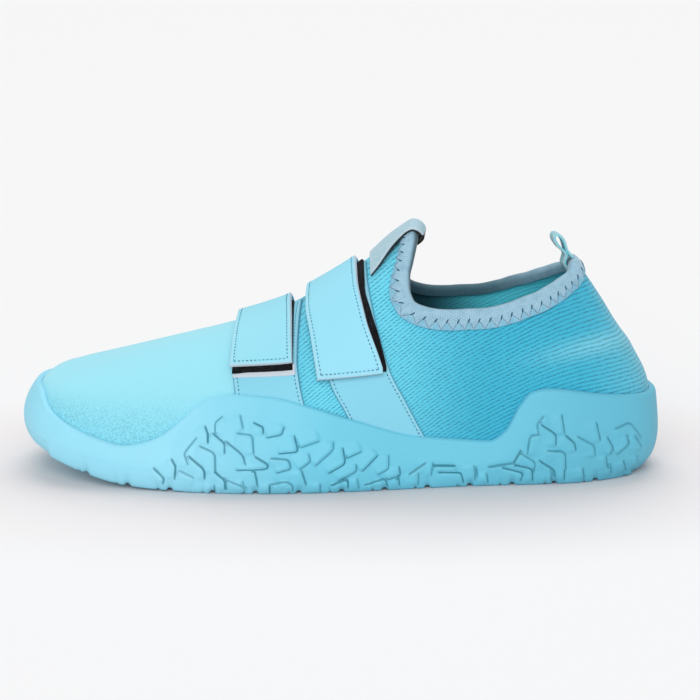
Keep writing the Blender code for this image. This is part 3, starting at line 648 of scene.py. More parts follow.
def feather(u):
    """Points of the feather edge, and the outward direction there in plan."""
    along = ring("along", u)
    point = np.stack([along, ring("side", u), spring(along) + SOLE_FLOOR + GAP], -1)
    step = 1e-3
    run = np.stack([ring(name, u + step) - ring(name, u - step) for name in ("along", "side")], -1)
    run /= np.linalg.norm(run, axis=-1, keepdims=True)
    return point, np.stack([run[..., 1], -run[..., 0], np.zeros_like(along)], -1)


def last(u, v):
    """Points of the last's surface: v climbs each spoke from 0 at the feather edge to 1 on the ridge."""
    u, v = np.broadcast_arrays(np.asarray(u, float), np.asarray(v, float))
    low, outward = feather(u)
    top, slope = ridge_point(ring("ridge", u))
    climb = (top - low)[..., 2:]
    up = np.array([0.0, 0.0, 1.0])
    first = low + ring("low_rise", u)[..., None] * climb * up + ring("bulge", u)[..., None] * outward
    reach = ring("crown", u)[..., None] * (low - top)
    along_ridge = np.stack([np.ones_like(slope), np.zeros_like(slope), slope], -1)
    second = top + reach[..., :1] * along_ridge + reach[..., 1:2] * np.array([0.0, 1.0, 0.0])
    t = v[..., None]
    spoke = low * (1 - t) ** 3 + 3 * first * t * (1 - t) ** 2 + 3 * second * t * t * (1 - t) + top * t**3
    wide, tall = HEEL_FLARE_SPREAD
    flare = HEEL_FLARE * np.exp(-(((u - 0.5) / wide) ** 2) - ((v - HEEL_FLARE_CLIMB) / tall) ** 2)
    return spoke + flare[..., None] * outward


def last_normal(u, v):
    """Outward unit normals of the last."""
    u, v = np.broadcast_arrays(np.asarray(u, float), np.asarray(v, float))
    step = 1e-3
    v = np.clip(v, step, 1 - 4 * step)
    along = last(u + step, v) - last(u - step, v)
    climb = last(u, v + step) - last(u, v - step)
    return unit(np.cross(along, climb))


def unit(vectors):
    return vectors / np.maximum(np.linalg.norm(vectors, axis=-1, keepdims=True), 1e-12)


def skin(u, v, offset):
    """Points at a distance from the last's surface."""
    return last(u, v) + np.asarray(offset)[..., None] * last_normal(u, v)


def height_on_spoke(u, height):
    """The v at which each spoke reaches a height."""
    climb = np.linspace(0, 1, 201)
    levels = last(np.asarray(u)[:, None], climb)[..., 2]
    return np.array([np.interp(h, level, climb) for h, level in zip(height, levels)])


def spoke_at(along):
    """The ring position, on the outer side, of the spoke that stands at a distance from the toe."""
    u = np.linspace(0, 0.5, 1201)
    return np.interp(along, ring("along", u), u)


def on_girth(along, girth):
    """Ring position and climb of a point on a girth, which runs over the ridge from outer to inner side."""
    u = spoke_at(along)
    inner = girth > 1
    return np.where(inner, 1 - u, u), np.where(inner, 2 - girth, girth)


def wall_height(along):
    """Height of the rubber wall's top edge."""
    return through(SIDEWALL["along_mm"] * mm, SIDEWALL["height_mm"] * mm, along)


def wall_out(along, share):
    """How far the rubber wall's outer face stands out from the upper, from its foot (0) to its top (1)."""
    to_heel = smooth_step((along - HEEL_ROUNDING_START) / HEEL_ROUNDING_RUN)
    foot = WALL_FOOT + (WALL_FOOT_HEEL - WALL_FOOT) * to_heel
    return foot + (wall_lip(along) + WALL_GAP - foot) * smooth_step(share)


def wall_lip(along):
    """Thickness of the rubber wall's top edge."""
    to_heel = smooth_step((along - WALL_LIP_CHANGE) / WALL_LIP_CHANGE_RUN)
    return WALL_LIP_FRONT + (WALL_LIP_HEEL - WALL_LIP_FRONT) * to_heel


def over_sole(along):
    """The climb at which a strip clears the top edge of the rubber wall."""
    u = np.atleast_1d(spoke_at(along))
    return height_on_spoke(u, wall_height(ring("along", u)) + STRIP_CLEARANCE)


def collar_edge(share):
    """Ring position and climb on the collar's edge: share runs from -1 at the heel by the inner side to 0
    at the peak and by the outer side to 1 at the heel again."""
    rows = np.arange(len(COLLAR_ROWS), dtype=float)
    at = np.abs(share) * rows[-1]
    u = through(rows, COLLAR["ring"], at)
    return np.where(share < 0, 1 - u, u), through(rows, COLLAR["climb"], at)


def collar_stations(count):
    """Shares of the collar's edge that lie evenly round it, and their distance round it."""
    share = np.linspace(-1, 1, 1601)
    length = run_length(last(*collar_edge(share)))
    even = np.linspace(0, length[-1], count + 1)
    return np.interp(even, length, share), even


def collar_frame(share):
    """On the collar's edge: point, outward normal, and the direction in the surface towards the opening."""
    step = 2e-3
    ahead = np.where(share + step > 1, share + step - 2, share + step)
    behind = np.where(share - step < -1, share - step + 2, share - step)
    u, v = collar_edge(share)
    normal = last_normal(u, v)
    run = last(*collar_edge(ahead)) - last(*collar_edge(behind))
    return last(u, v), normal, unit(np.cross(normal, run))


def by_collar(share, out, up):
    """Points out from the outer face and up beyond the collar's edge, or down the surface where up < 0."""
    share, out, up = np.broadcast_arrays(*(np.asarray(part, float) for part in (share, out, up)))
    point, normal, opening = collar_frame(share)
    beyond = point + out[..., None] * normal + up[..., None] * opening
    u, v = collar_edge(share)
    steps = 4
    eps = 1e-3
    goal = opening * np.minimum(up, 0)[..., None] / steps
    for _ in range(steps):
        across = (last(u + eps, v) - last(u - eps, v)) / (2 * eps)
        climb = (last(u, v + eps) - last(u, v - eps)) / (2 * eps)
        aa, cc, ac = np.sum(across**2, -1), np.sum(climb**2, -1), np.sum(across * climb, -1)
        ga, gc = np.sum(goal * across, -1), np.sum(goal * climb, -1)
        whole = aa * cc - ac**2
        u = u + (ga * cc - gc * ac) / whole
        v = np.clip(v + (gc * aa - ga * ac) / whole, 0, 1)
    below = last(u, v) + out[..., None] * last_normal(u, v)
    return np.where(up[..., None] >= 0, beyond, below)


def run_length(points):
    """Distance travelled along a line of points."""
    return np.concatenate([[0], np.cumsum(np.linalg.norm(np.diff(points, axis=0), axis=1))])


def along_line(line, run, at):
    """A line's columns at distances along it, where run is the distance to each of its rows."""
    return np.stack([np.interp(at, run, column) for column in line.T], -1)


def ring_columns(count, fine=0.0):
    """Ring positions that mirror each other, closer together beside the lug fields by the share fine."""
    u = np.linspace(0, 0.5, 4001)
    point, outward = feather(u)
    step = np.diff(run_length(point + WALL_FOOT * outward))
    middle = (point[1:, 0] + point[:-1, 0]) / 2
    near = np.zeros_like(middle)
    for start, end in LUG_FIELDS:
        beside = smooth_step((middle - start) / LUG_RUN) * smooth_step((end - middle) / LUG_RUN)
        near = np.maximum(near, beside)
    total = np.concatenate([[0], np.cumsum(step * (1 + fine * near))])
    side = np.interp(np.linspace(0, total[-1], count // 2 + 1), total, u)
    return np.concatenate([side, 1 - side[-2::-1]])


def placed(points):
    """Moves points from the toe's end to the middle of the shoe."""
    return np.asarray(points) - ORIGIN


# Mesh making


def add_sheet(name, points, uv=None, masks=None):
    """Adds a grid and moves its vertices to the points, which come in rows; masks are values there."""
    points = np.asarray(points, float)
    rows, count = points.shape[:2]
    bpy.ops.object.select_all(action="DESELECT")
    bpy.ops.mesh.primitive_grid_add(x_subdivisions=count - 1, y_subdivisions=rows - 1, size=1)
    obj = bpy.context.object
    obj.name = name
    mesh = obj.data
    mesh.name = name
    mesh.vertices.foreach_set("co", placed(points).reshape(-1))
    if uv is not None:
        corner = np.empty(len(mesh.loops), int)
        mesh.loops.foreach_get("vertex_index", corner)
        mesh.uv_layers[0].data.foreach_set("uv", np.asarray(uv, float).reshape(-1, 2)[corner].reshape(-1))
    for mask, values in (masks or {}).items():
        layer = mesh.attributes.new(mask, "FLOAT", "POINT")
        layer.data.foreach_set("value", np.broadcast_to(values, (rows, count)).reshape(-1))
    mesh.update()
    return obj


def weld(obj):
    """Closes seams and poles, where vertices lie on each other."""
    bpy.context.view_layer.objects.active = obj
    bpy.ops.object.mode_set(mode="EDIT")
    bpy.ops.mesh.select_all(action="SELECT")
    bpy.ops.mesh.remove_doubles(threshold=WELD)
    bpy.ops.mesh.dissolve_degenerate(threshold=WELD / 2)
    bpy.ops.object.mode_set(mode="OBJECT")
    return obj


def select_points(obj, chosen):
    """Selects the vertices where chosen is true, and enters edit mode."""
    bpy.context.view_layer.objects.active = obj
    bpy.ops.object.mode_set(mode="EDIT")
    bpy.ops.mesh.select_mode(type="VERT")
    bpy.ops.mesh.select_all(action="DESELECT")
    bpy.ops.object.mode_set(mode="OBJECT")
    obj.data.vertices.foreach_set("select", np.asarray(chosen, bool))
    bpy.ops.object.mode_set(mode="EDIT")


def coordinates(obj):
    """The vertices of a piece, measured from the toe."""
    flat = np.empty(3 * len(obj.data.vertices))
    obj.data.vertices.foreach_get("co", flat)
    return flat.reshape(-1, 3) + ORIGIN


def apply_modifier(obj, kind, **settings):
    """Adds a modifier with its settings and applies it."""
    bpy.context.view_layer.objects.active = obj
    step = obj.modifiers.new(kind.lower(), kind)
    for name, value in settings.items():
        setattr(step, name, value)
    bpy.ops.object.modifier_apply(modifier=step.name)
    return obj


def dress(obj, slot, nodes, *looks):
    """Shades a finished piece, gives it its materials, hangs it under the root and hides the solids it stands
    for.
    """
    bpy.ops.object.select_all(action="DESELECT")
    obj.select_set(True)
    bpy.context.view_layer.objects.active = obj
    bpy.ops.object.shade_smooth_by_angle(angle=SMOOTH_ANGLE)
    for look in looks:
        obj.data.materials.append(look)
    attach(obj, "root")
    if nodes:
        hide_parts(*nodes)
    return obj


def fine_ends(length, cell, corner):
    """Distances along a length, close together where its two ends are rounded."""
    turn = corner * ROUNDING_STEPS
    count = max(2, int(round((length - 2 * turn[-1]) / cell)))
    middle = np.linspace(turn[-1], length - turn[-1], count + 1)
    return np.concatenate([turn[:-1], middle, length - turn[-2::-1]])


def add_slab(name, base, normal, thickness, corner, dip=None, turned=0.0):
    """A flat piece with rounded edges on a grid of base points; dip lowers its face at a distance from the
    border.  Its masks are the distance from the border and the underside, which may be turned out."""
    rows = np.stack([run_length(line) for line in base.swapaxes(0, 1)], 1)
    cols = np.stack([run_length(line) for line in base], 0)
    border = np.minimum(np.minimum(rows, rows[-1:] - rows), np.minimum(cols, cols[:, -1:] - cols))
    swell = np.sqrt(1 - (1 - np.minimum(border / corner, 1)) ** 2)
    height = thickness * swell - (dip(border) if dip else 0)
    face = base + height[..., None] * normal
    uv = np.stack([cols, rows], -1)
    obj = add_sheet(
        name,
        np.concatenate([face, base[:, ::-1]], 1),
        np.concatenate([uv, uv[:, ::-1]], 1),
        {
            "border": np.concatenate([border, border[:, ::-1]], 1),
            "under": np.concatenate([np.maximum(1 - swell, turned), np.ones_like(border)], 1),
        },
    )
    return weld(obj)


def add_threads(name, starts, ends, normals, thickness):
    """Stitches: one rounded thread is modelled and repeated between pairs of points on a surface."""
    bpy.ops.object.select_all(action="DESELECT")
    bpy.ops.mesh.primitive_uv_sphere_add(segments=8, ring_count=6, radius=0.5)
    obj = bpy.context.object
    thread = np.array([vertex.co for vertex in obj.data.vertices])
    faces = [tuple(face.vertices) for face in obj.data.polygons]
    run = ends - starts
    length = np.linalg.norm(run, axis=1)
    ahead = unit(run)
    across = unit(np.cross(normals, ahead))
    up = np.cross(ahead, across)
    stretch = np.sign(thread[:, 2]) * np.abs(2 * thread[:, 2]) ** 0.75 / 2
    points = (
        ((starts + ends) / 2)[:, None]
        + (length[:, None] * stretch)[..., None] * ahead[:, None]
        + (thickness * thread[:, 0])[None, :, None] * across[:, None]
        + (thickness * thread[:, 1])[None, :, None] * up[:, None]
    )
    count = len(thread)
    mesh = bpy.data.meshes.new(name)
    firsts = range(0, count * len(starts), count)
    every = [tuple(index + first for index in face) for first in firsts for face in faces]
    mesh.from_pydata(placed(points.reshape(-1, 3)).tolist(), [], every)
    spare = obj.data
    obj.data = mesh
    obj.name = name
    bpy.data.meshes.remove(spare)
    bpy.ops.object.mode_set(mode="EDIT")
    bpy.ops.mesh.select_all(action="SELECT")
    bpy.ops.mesh.normals_make_consistent(inside=False)
    bpy.ops.object.mode_set(mode="OBJECT")
    return obj


# Shader making


def tint(red, green, blue):
    """A colour seen on screen, as the linear values that a shader takes."""
    shares = np.array([red, green, blue]) / 255
    linear = np.where(shares <= 0.04045, shares / 12.92, ((shares + 0.055) / 1.055) ** 2.4)
    return tuple(float(value) for value in linear)


def add(tree, kind, values=None, **settings):
    """Adds a shader node; values go to its inputs, as links where they are sockets."""
    made = tree.nodes.new("ShaderNode" + kind)
    for name, value in settings.items():
        setattr(made, name, value)
    for name, value in (values or {}).items():
        if isinstance(value, bpy.types.NodeSocket):
            tree.links.new(value, made.inputs[name])
        else:
            made.inputs[name].default_value = value
    return made


def calc(tree, operation, *values):
    """The output of a Math node."""
    return add(tree, "Math", dict(enumerate(values)), operation=operation).outputs[0]


def ramp(tree, value, low, high, start=0.0, end=1.0):
    """A value carried smoothly from one range to another."""
    values = {"Value": value, "From Min": low, "From Max": high, "To Min": start, "To Max": end}
    return add(tree, "MapRange", values, interpolation_type="SMOOTHSTEP").outputs[0]


def blend(tree, factor, first, second, blend_type="MIX"):
    """A mix of two colours."""
    mixed = add(tree, "Mix", {"Factor": factor}, data_type="RGBA", blend_type=blend_type)
    for socket, value in zip([s for s in mixed.inputs if s.type == "RGBA"], (first, second)):
        if isinstance(value, bpy.types.NodeSocket):
            tree.links.new(value, socket)
        else:
            socket.default_value = (*value[:3], 1)
    return [s for s in mixed.outputs if s.type == "RGBA"][0]


def mask(tree, name):
    """A value that the mesh carries at its points."""
    return add(tree, "Attribute", attribute_name=name).outputs["Fac"]


def place(tree):
    """Object coordinates."""
    return add(tree, "TexCoord").outputs["Object"]


def noise(tree, scale, detail=2.0, vector=None):
    """A noise of a number of lumps to the metre."""
    values = {"Vector": vector or place(tree), "Scale": scale, "Detail": detail}
    return add(tree, "TexNoise", values).outputs["Fac"]


def map_parts(tree):
    """The two coordinates of the piece's own map, which is in metres."""
    return add(tree, "SeparateXYZ", {0: add(tree, "UVMap", uv_map="UVMap").outputs[0]}).outputs


def new_group(fill, sizes):
    """A shader group: fill takes its tree and its inputs, and gives its outputs by name."""
    group = bpy.data.node_groups.new(fill.__name__, "ShaderNodeTree")
    for socket in sizes:
        group.interface.new_socket(socket, in_out="INPUT", socket_type="NodeSocketFloat")
    results = fill(group, group.nodes.new("NodeGroupInput").outputs)
    for socket in results:
        group.interface.new_socket(socket, in_out="OUTPUT", socket_type="NodeSocketFloat")
    outside = group.nodes.new("NodeGroupOutput")
    for socket, value in results.items():
        group.links.new(value, outside.inputs[socket])
    return group


def use(tree, fill, sizes):
    """Places a group in a material, and makes it on its first use."""
    made = tree.nodes.new("ShaderNodeGroup")
    made.node_tree = bpy.data.node_groups.get(fill.__name__) or new_group(fill, sizes)
    for name, value in sizes.items():
        made.inputs[name].default_value = value
    return made.outputs


def knit_courses(group, sizes):
    """Courses of knit loops, of which every other one is set off by half a loop."""
    uv = map_parts(group)
    wobble = calc(group, "MULTIPLY_ADD", noise(group, 160.0), COURSE_WOBBLE, -COURSE_WOBBLE / 2)
    course = calc(group, "DIVIDE", calc(group, "ADD", uv["Y"], wobble), sizes["Course"])
    rib = calc(group, "SINE", calc(group, "MULTIPLY", calc(group, "FRACT", course), math.pi))
    odd = calc(group, "MODULO", calc(group, "FLOOR", course), 2.0)
    turn = calc(group, "MULTIPLY_ADD", odd, 0.5, calc(group, "DIVIDE", uv["X"], sizes["Loop"]))
    wave = calc(group, "COSINE", calc(group, "MULTIPLY", turn, math.tau))
    loop = calc(group, "MULTIPLY_ADD", wave, 0.5, 0.5)
    crown = calc(group, "POWER", rib, 0.6)
    height = calc(group, "MULTIPLY", crown, calc(group, "MULTIPLY_ADD", loop, 0.4, 0.6))
    dark = calc(group, "POWER", calc(group, "SUBTRACT", 1.0, rib), 1.5)
    spots = calc(group, "MULTIPLY", dark, calc(group, "MULTIPLY_ADD", loop, -1.0, 1.1))
    spots = calc(group, "MULTIPLY", spots, ramp(group, noise(group, 600.0), 0.35, 0.65, 0.55, 1.25))
    return {"Height": height, "Valley": spots}


def fine_grain(group, sizes):
    """Fine grain and slow colour drift of moulded and coated faces."""
    cells = {"Vector": place(group), "Scale": sizes["Grains"]}
    pits = add(group, "TexVoronoi", cells).outputs["Distance"]
    lumps = add(group, "TexNoise", {**cells, "Detail": 3.0}).outputs["Fac"]
    drift = noise(group, sizes["Drift"], 3.0)
    return {"Height": calc(group, "MULTIPLY_ADD", pits, 0.5, lumps), "Mottle": drift}


def weave(group, sizes):
    """Crossing yarns of a ribbon or a band."""
    uv = map_parts(group)
    warp = calc(group, "DIVIDE", uv["X"], sizes["Warp"])
    weft = calc(group, "DIVIDE", uv["Y"], sizes["Weft"])
    over = calc(group, "MODULO", calc(group, "FLOOR", warp), 2.0)
    ribs = calc(group, "ABSOLUTE", calc(group, "SINE", calc(group, "MULTIPLY", warp, math.pi)))
    steps = calc(group, "MULTIPLY", calc(group, "MULTIPLY_ADD", over, 0.5, weft), math.tau)
    yarns = calc(group, "MULTIPLY_ADD", calc(group, "SINE", steps), 0.5, 0.5)
    height = calc(group, "MULTIPLY_ADD", yarns, 0.5, calc(group, "MULTIPLY", ribs, 0.5))
    return {"Height": height, "Shade": calc(group, "MULTIPLY_ADD", height, 0.5, noise(group, 400.0))}


def cut_edge(group, sizes):
    """Marks the cut edge of a flat piece, and a band inside it, by the distance from its border."""
    border = calc(group, "SUBTRACT", mask(group, "border"), EDGE_WOBBLE / 2)
    border = calc(group, "MULTIPLY_ADD", noise(group, 700.0), EDGE_WOBBLE, border)
    found = {}
    for name in ("Rim", "Band"):
        share = calc(group, "DIVIDE", border, sizes[name])
        found[name] = ramp(group, share, 0.8, 1.2, 1.0, 0.0)
    return found


def new_material(name, roughness, **values):
    """A material's tree and shader; values are constants of the shader's own sockets."""
    made = bpy.data.materials.new(name)
    made.use_nodes = True
    tree = made.node_tree
    shader = tree.nodes["Principled BSDF"]
    shader.inputs["Roughness"].default_value = roughness
    for socket, value in values.items():
        shader.inputs[socket.replace("_", " ")].default_value = value
    return made, tree, shader


def finish_look(tree, shader, colour, height, strength, distance):
    """Links a varying colour, and a height as bump, to the shader."""
    tree.links.new(colour, shader.inputs["Base Color"])
    bump = add(tree, "Bump", {"Height": height, "Strength": strength, "Distance": distance})
    tree.links.new(bump.outputs["Normal"], shader.inputs["Normal"])


def through_zone(tree, zone, start=0.0, end=1.0):
    """A value carried smoothly along the shoe, through a zone between two distances from the toe."""
    along = add(tree, "SeparateXYZ", {0: place(tree)}).outputs["X"]
    low, high = (edge - ORIGIN[0] for edge in zone)
    return ramp(tree, along, low, high, start, end)


def rubber_look(colours):
    """Moulded satin rubber with painted light: pale where it is lit at the toe, darker with painted shade
    towards the heel, with painted shade along its crevices and in the tread's grooves.
    """
    made, tree, shader = new_material("rubber", 0.5, Specular_IOR_Level=0.4)
    grain = use(tree, fine_grain, RUBBER_GRAIN)
    # Painted light and shade: the rubber's tone falls from the lit toe to the shaded heel
    tone = blend(tree, through_zone(tree, RUBBER_TOE_LIGHT_ZONE), colours.rubber_toe_lit, colours.rubber_middle_shaded)
    tone = blend(tree, through_zone(tree, RUBBER_HEEL_SHADE_ZONE), tone, colours.rubber_heel_shaded)
    tone = blend(tree, ramp(tree, grain["Mottle"], 0.35, 0.7, 0.0, 0.12), tone, colours.rubber_heel_shaded)
    # Painted shade: a dark line along each crevice between the lug plates, and a little in the tread's
    # grooves
    off_line = calc(tree, "ABSOLUTE", mask(tree, "stroke_side"))
    beside = ramp(tree, mask(tree, "near_stroke"), 0.8 * mm, 1.3 * mm, 1.0, 0.0)
    on_stroke = calc(tree, "MULTIPLY", beside, mask(tree, "stroke"))
    line = calc(tree, "MULTIPLY", ramp(tree, off_line, 0.2 * mm, 0.6 * mm, 0.85, 0.0), on_stroke)
    groove = calc(tree, "MULTIPLY", mask(tree, "groove"), 0.2)
    tone = blend(tree, calc(tree, "MAXIMUM", line, groove), tone, colours.crevice)
    tree.links.new(ramp(tree, grain["Mottle"], 0.3, 0.7, 0.44, 0.56), shader.inputs["Roughness"])
    step = calc(tree, "MULTIPLY", ramp(tree, mask(tree, "stroke_side"), -0.2 * mm, 0.3 * mm), on_stroke)
    relief = calc(tree, "ADD", calc(tree, "MULTIPLY", grain["Height"], 0.06), step)
    finish_look(tree, shader, tone, relief, 0.5, 0.4 * mm)
    return made


def knit_look(colours):
    """Knit upper: smooth and pale over the toes, flecked low beside them, with courses from the straps to the
    heel and a seam down its back; painted highlights lighten the back of the heel and the heel's ridge, where
    the knit also stands stretched paler."""
    made, tree, shader = new_material("knit", 0.85, Sheen_Weight=0.2, Sheen_Roughness=0.5)
    courses = use(tree, knit_courses, SIDE_COURSES)
    fine = use(tree, knit_courses, TOE_COURSES)
    heel = mask(tree, "ribs")
    open_mesh = mask(tree, "open_mesh")
    quarter = mask(tree, "quarter")
    tone = blend(tree, quarter, colours.vamp, colours.quarter)
    front = calc(tree, "MULTIPLY", quarter, through_zone(tree, QUARTER_FRONT_ZONE, 1.0, 0.0))
    tone = blend(tree, front, tone, colours.quarter_front)
    # Painted highlight round the back of the heel
    tone = blend(tree, through_zone(tree, KNIT_HEEL_HIGHLIGHT_ZONE, 0.0, 0.25), tone, colours.vamp)
    # Painted highlight on the heel's ridge, which also stands for the knit stretched paler there
    tone = blend(tree, calc(tree, "MULTIPLY", mask(tree, "stretch_and_highlight"), 0.5), tone, colours.vamp)
    side = calc(tree, "MULTIPLY", open_mesh, quarter)
    shade = calc(tree, "ADD", heel, side)
    valley = calc(tree, "MULTIPLY", courses["Valley"], shade)
    toe = calc(tree, "MULTIPLY", open_mesh, calc(tree, "SUBTRACT", 1.0, quarter))
    holes = calc(tree, "MULTIPLY", fine["Valley"], calc(tree, "MULTIPLY", toe, 0.15))
    tone = blend(tree, calc(tree, "MULTIPLY", toe, 0.5), tone, colours.quarter_front)
    flecks = ramp(tree, noise(tree, 1500.0, 1.0), 0.47, 0.62)
    speckle = calc(tree, "MULTIPLY", flecks, calc(tree, "MULTIPLY_ADD", toe, 0.32, 0.02))
    seam = ramp(tree, calc(tree, "ABSOLUTE", map_parts(tree)["X"]), *HEEL_SEAM, 0.7, 0.0)
    dark = calc(tree, "ADD", calc(tree, "ADD", valley, holes), speckle)
    tone = blend(tree, dark, tone, colours.knit_shadow)
    tone = blend(tree, seam, tone, colours.knit_shadow)
    ribs = calc(tree, "MULTIPLY", courses["Height"], calc(tree, "MULTIPLY_ADD", shade, 1.2, 0.1))
    height = calc(tree, "ADD", ribs, calc(tree, "MULTIPLY", fine["Height"], calc(tree, "MULTIPLY", toe, 0.2)))
    height = calc(tree, "SUBTRACT", height, calc(tree, "MULTIPLY", speckle, 2.0))
    finish_look(tree, shader, tone, height, 0.6, 0.3 * mm)
    return made


def lining_look(colours):
    """Inside of the knit, dark with painted shade deep under the instep and in its own colour towards the
    heel.
    """
    made, tree, shader = new_material("lining", 0.9, Sheen_Weight=0.15)
    fine = use(tree, knit_courses, LINING_COURSES)
    # Painted shade: the lining is dark under the instep, where the cavity lies in shadow, and lighter towards
    # the heel
    tone = blend(tree, through_zone(tree, LINING_SHADE_ZONE), colours.lining_shade, colours.lining)
    tone = blend(tree, calc(tree, "MULTIPLY", fine["Valley"], 0.4), tone, colours.knit_shadow)
    finish_look(tree, shader, tone, fine["Height"], 0.6, 0.3 * mm)
    return made


def strap_look(colours, name, edge_sizes, front, rear, edge):
    """Coated strap with a satin face, deeper or paler towards the heel, and a cut edge; on the sewn bases the
    edge colour is a painted shadow.
    """
    made, tree, shader = new_material(name, 0.6, Specular_IOR_Level=0.3)
    grain = use(tree, fine_grain, STRAP_GRAIN)
    rim = use(tree, cut_edge, edge_sizes)
    tone = blend(tree, through_zone(tree, STRAP_ZONE), front, rear)
    tone = blend(tree, calc(tree, "MULTIPLY", rim["Band"], 0.1), tone, colours.cut_edge)
    # The rim takes the edge colour: the strap's own pale cut edge, or on the bases a painted shadow along the
    # edge
    tone = blend(tree, calc(tree, "MULTIPLY", rim["Rim"], 0.8), tone, edge)
    tree.links.new(ramp(tree, grain["Mottle"], 0.3, 0.7, 0.55, 0.68), shader.inputs["Roughness"])
    finish_look(tree, shader, tone, grain["Height"], 0.1, 0.2 * mm)
    return made


def tape_look(colours):
    """Black hook tape: matt, with tiny hooks that catch the light."""
    made, tree, shader = new_material("hook_tape", 0.9, Specular_IOR_Level=0.2)
    hooks = use(tree, weave, TAPE_WEAVE)
    tone = blend(tree, ramp(tree, hooks["Shade"], 0.75, 1.0), colours.tape, colours.tape_hooks)
    finish_look(tree, shader, tone, hooks["Height"], 0.8, 0.4 * mm)
    return made


def binding_look(colours, pitch):
    """Pale stretch band, tinted like the knit below its zigzag seam, with painted shade on its inner leg
    inside the shoe.
    """
    made, tree, shader = new_material("ribbing", 0.85, Sheen_Weight=0.3, Sheen_Roughness=0.4)
    yarns = use(tree, weave, BINDING_WEAVE)
    tone = blend(tree, ramp(tree, yarns["Shade"], 0.4, 1.0), colours.binding_shadow, colours.binding)
    turn = calc(tree, "FRACT", calc(tree, "DIVIDE", map_parts(tree)["X"], pitch))
    point = calc(tree, "ABSOLUTE", calc(tree, "MULTIPLY_ADD", turn, 2.0, -1.0))
    line = calc(tree, "MULTIPLY_ADD", point, ZIGZAG_BOTTOM - ZIGZAG_TOP, ZIGZAG_TOP)
    below = ramp(tree, calc(tree, "SUBTRACT", mask(tree, "down"), line), 0.02, 0.2, 0.0, 0.35)
    tone = blend(tree, below, tone, colours.quarter)
    # Painted shade on the inner leg, strongest towards the front of the opening
    deep = through_zone(tree, BINDING_SHADE_ZONE, 0.85, 0.15)
    inside = calc(tree, "MULTIPLY", mask(tree, "inner"), deep)
    tone = blend(tree, inside, tone, colours.lining_shade)
    finish_look(tree, shader, tone, yarns["Height"], 0.35, 0.3 * mm)
    return made


def ribbon_look(colours, name, face, back):
    """Woven ribbon whose underside and edge may have another colour."""
    made, tree, shader = new_material(name, 0.7, Sheen_Weight=0.2)
    yarns = use(tree, weave, RIBBON_WEAVE)
    rim = use(tree, cut_edge, RIBBON_EDGE)
    tone = blend(tree, ramp(tree, yarns["Shade"], 0.4, 1.0, 0.0, 0.35), face, colours.cut_edge)
    tone = blend(tree, calc(tree, "MULTIPLY", rim["Band"], 0.4), tone, colours.cut_edge)
    tone = blend(tree, ramp(tree, mask(tree, "under"), 0.4, 0.55), tone, back)
    finish_look(tree, shader, tone, yarns["Height"], 0.5, 0.2 * mm)
    return made


def thread_look(name, colour, shade):
    """Twisted sewing thread."""
    made, tree, shader = new_material(name, 0.7)
    twist = noise(tree, 1800.0, 1.0)
    tone = blend(tree, ramp(tree, twist, 0.35, 0.65), colour, shade)
    finish_look(tree, shader, tone, twist, 0.4, 0.1 * mm)
    return made


def footbed_look(colours):
    """Foam footbed under a brushed cloth."""
    made, tree, shader = new_material("foam", 0.9, Sheen_Weight=0.3)
    grain = use(tree, fine_grain, FOOTBED_GRAIN)
    tone = blend(tree, ramp(tree, grain["Mottle"], 0.3, 0.7), colours.footbed, colours.lining)
    finish_look(tree, shader, tone, grain["Height"], 0.5, 0.3 * mm)
    return made


def floor_look(colours):
    """Matt studio floor with a painted shadow under the shoe."""
    made, tree, shader = new_material("studio_floor", 0.9)
    shares = (1 / FLOOR_SHADOW_SIZE[0], 1 / FLOOR_SHADOW_SIZE[1], 0.0)
    spot = add(tree, "Mapping", {"Vector": place(tree), "Scale": shares}).outputs[0]
    away = add(tree, "VectorMath", {0: spot}, operation="LENGTH").outputs["Value"]
    # Painted shadow: the floor darkens towards the shoe
    tone = blend(tree, ramp(tree, away, *FLOOR_SHADOW_FADE), colours.floor_shadow, colours.floor)
    tree.links.new(tone, shader.inputs["Base Color"])
    return made


# What a user may change


def size(name, description, default):
    return bpy.props.FloatProperty(
        name=name, description=description, default=default, min=0.0, unit="LENGTH"
    )


def light_level(name, description, default):
    return bpy.props.FloatProperty(name=name, description=description, default=default, min=0.0)


def colour(name, description, *levels):
    return bpy.props.FloatVectorProperty(
        name=name, description=description, default=tint(*levels), size=3, subtype="COLOR", min=0.0, max=1.0
    )


class ShoeSizes(bpy.types.PropertyGroup):
    """Thicknesses, widths and stitch sizes of the sewn pieces."""

    strap_thickness: size("Strap", "Thickness of the two straps", 1.5 * mm)
    tape_thickness: size("Hook tape", "Thickness of the hook tape under a strap", 1.1 * mm)
    base_thickness: size("Base", "Thickness of the sewn base under a strap", 0.9 * mm)
    tab_thickness: size("Tab", "Thickness of the tab at the collar's peak", 1.3 * mm)
    loop_thickness: size("Loop", "Thickness of the heel loop's ribbon", 1.2 * mm)
    loop_width: size("Loop width", "Width of the heel loop's ribbon", 8.0 * mm)
    binding_width: size("Binding width", "Depth of the collar binding on the outside", 7.4 * mm)
    binding_width_heel: size("Binding at heel", "Depth of the collar binding at the heel", 5.6 * mm)
    binding_thickness: size("Binding", "Thickness of the collar binding", 1.0 * mm)
    stitch_length: size("Stitch", "Length of one stitch on the straps", 1.05 * mm)
    stitch_gap: size("Stitch gap", "Distance between two stitches", 0.7 * mm)
    stitch_inset: size("Stitch inset", "Distance of the seams from a strap's edge", 1.9 * mm)
    thread: size("Thread", "Thickness of the sewing thread", 0.45 * mm)
    zigzag_pitch: size("Zigzag", "Length of one zigzag of the binding's seam", 4.4 * mm)


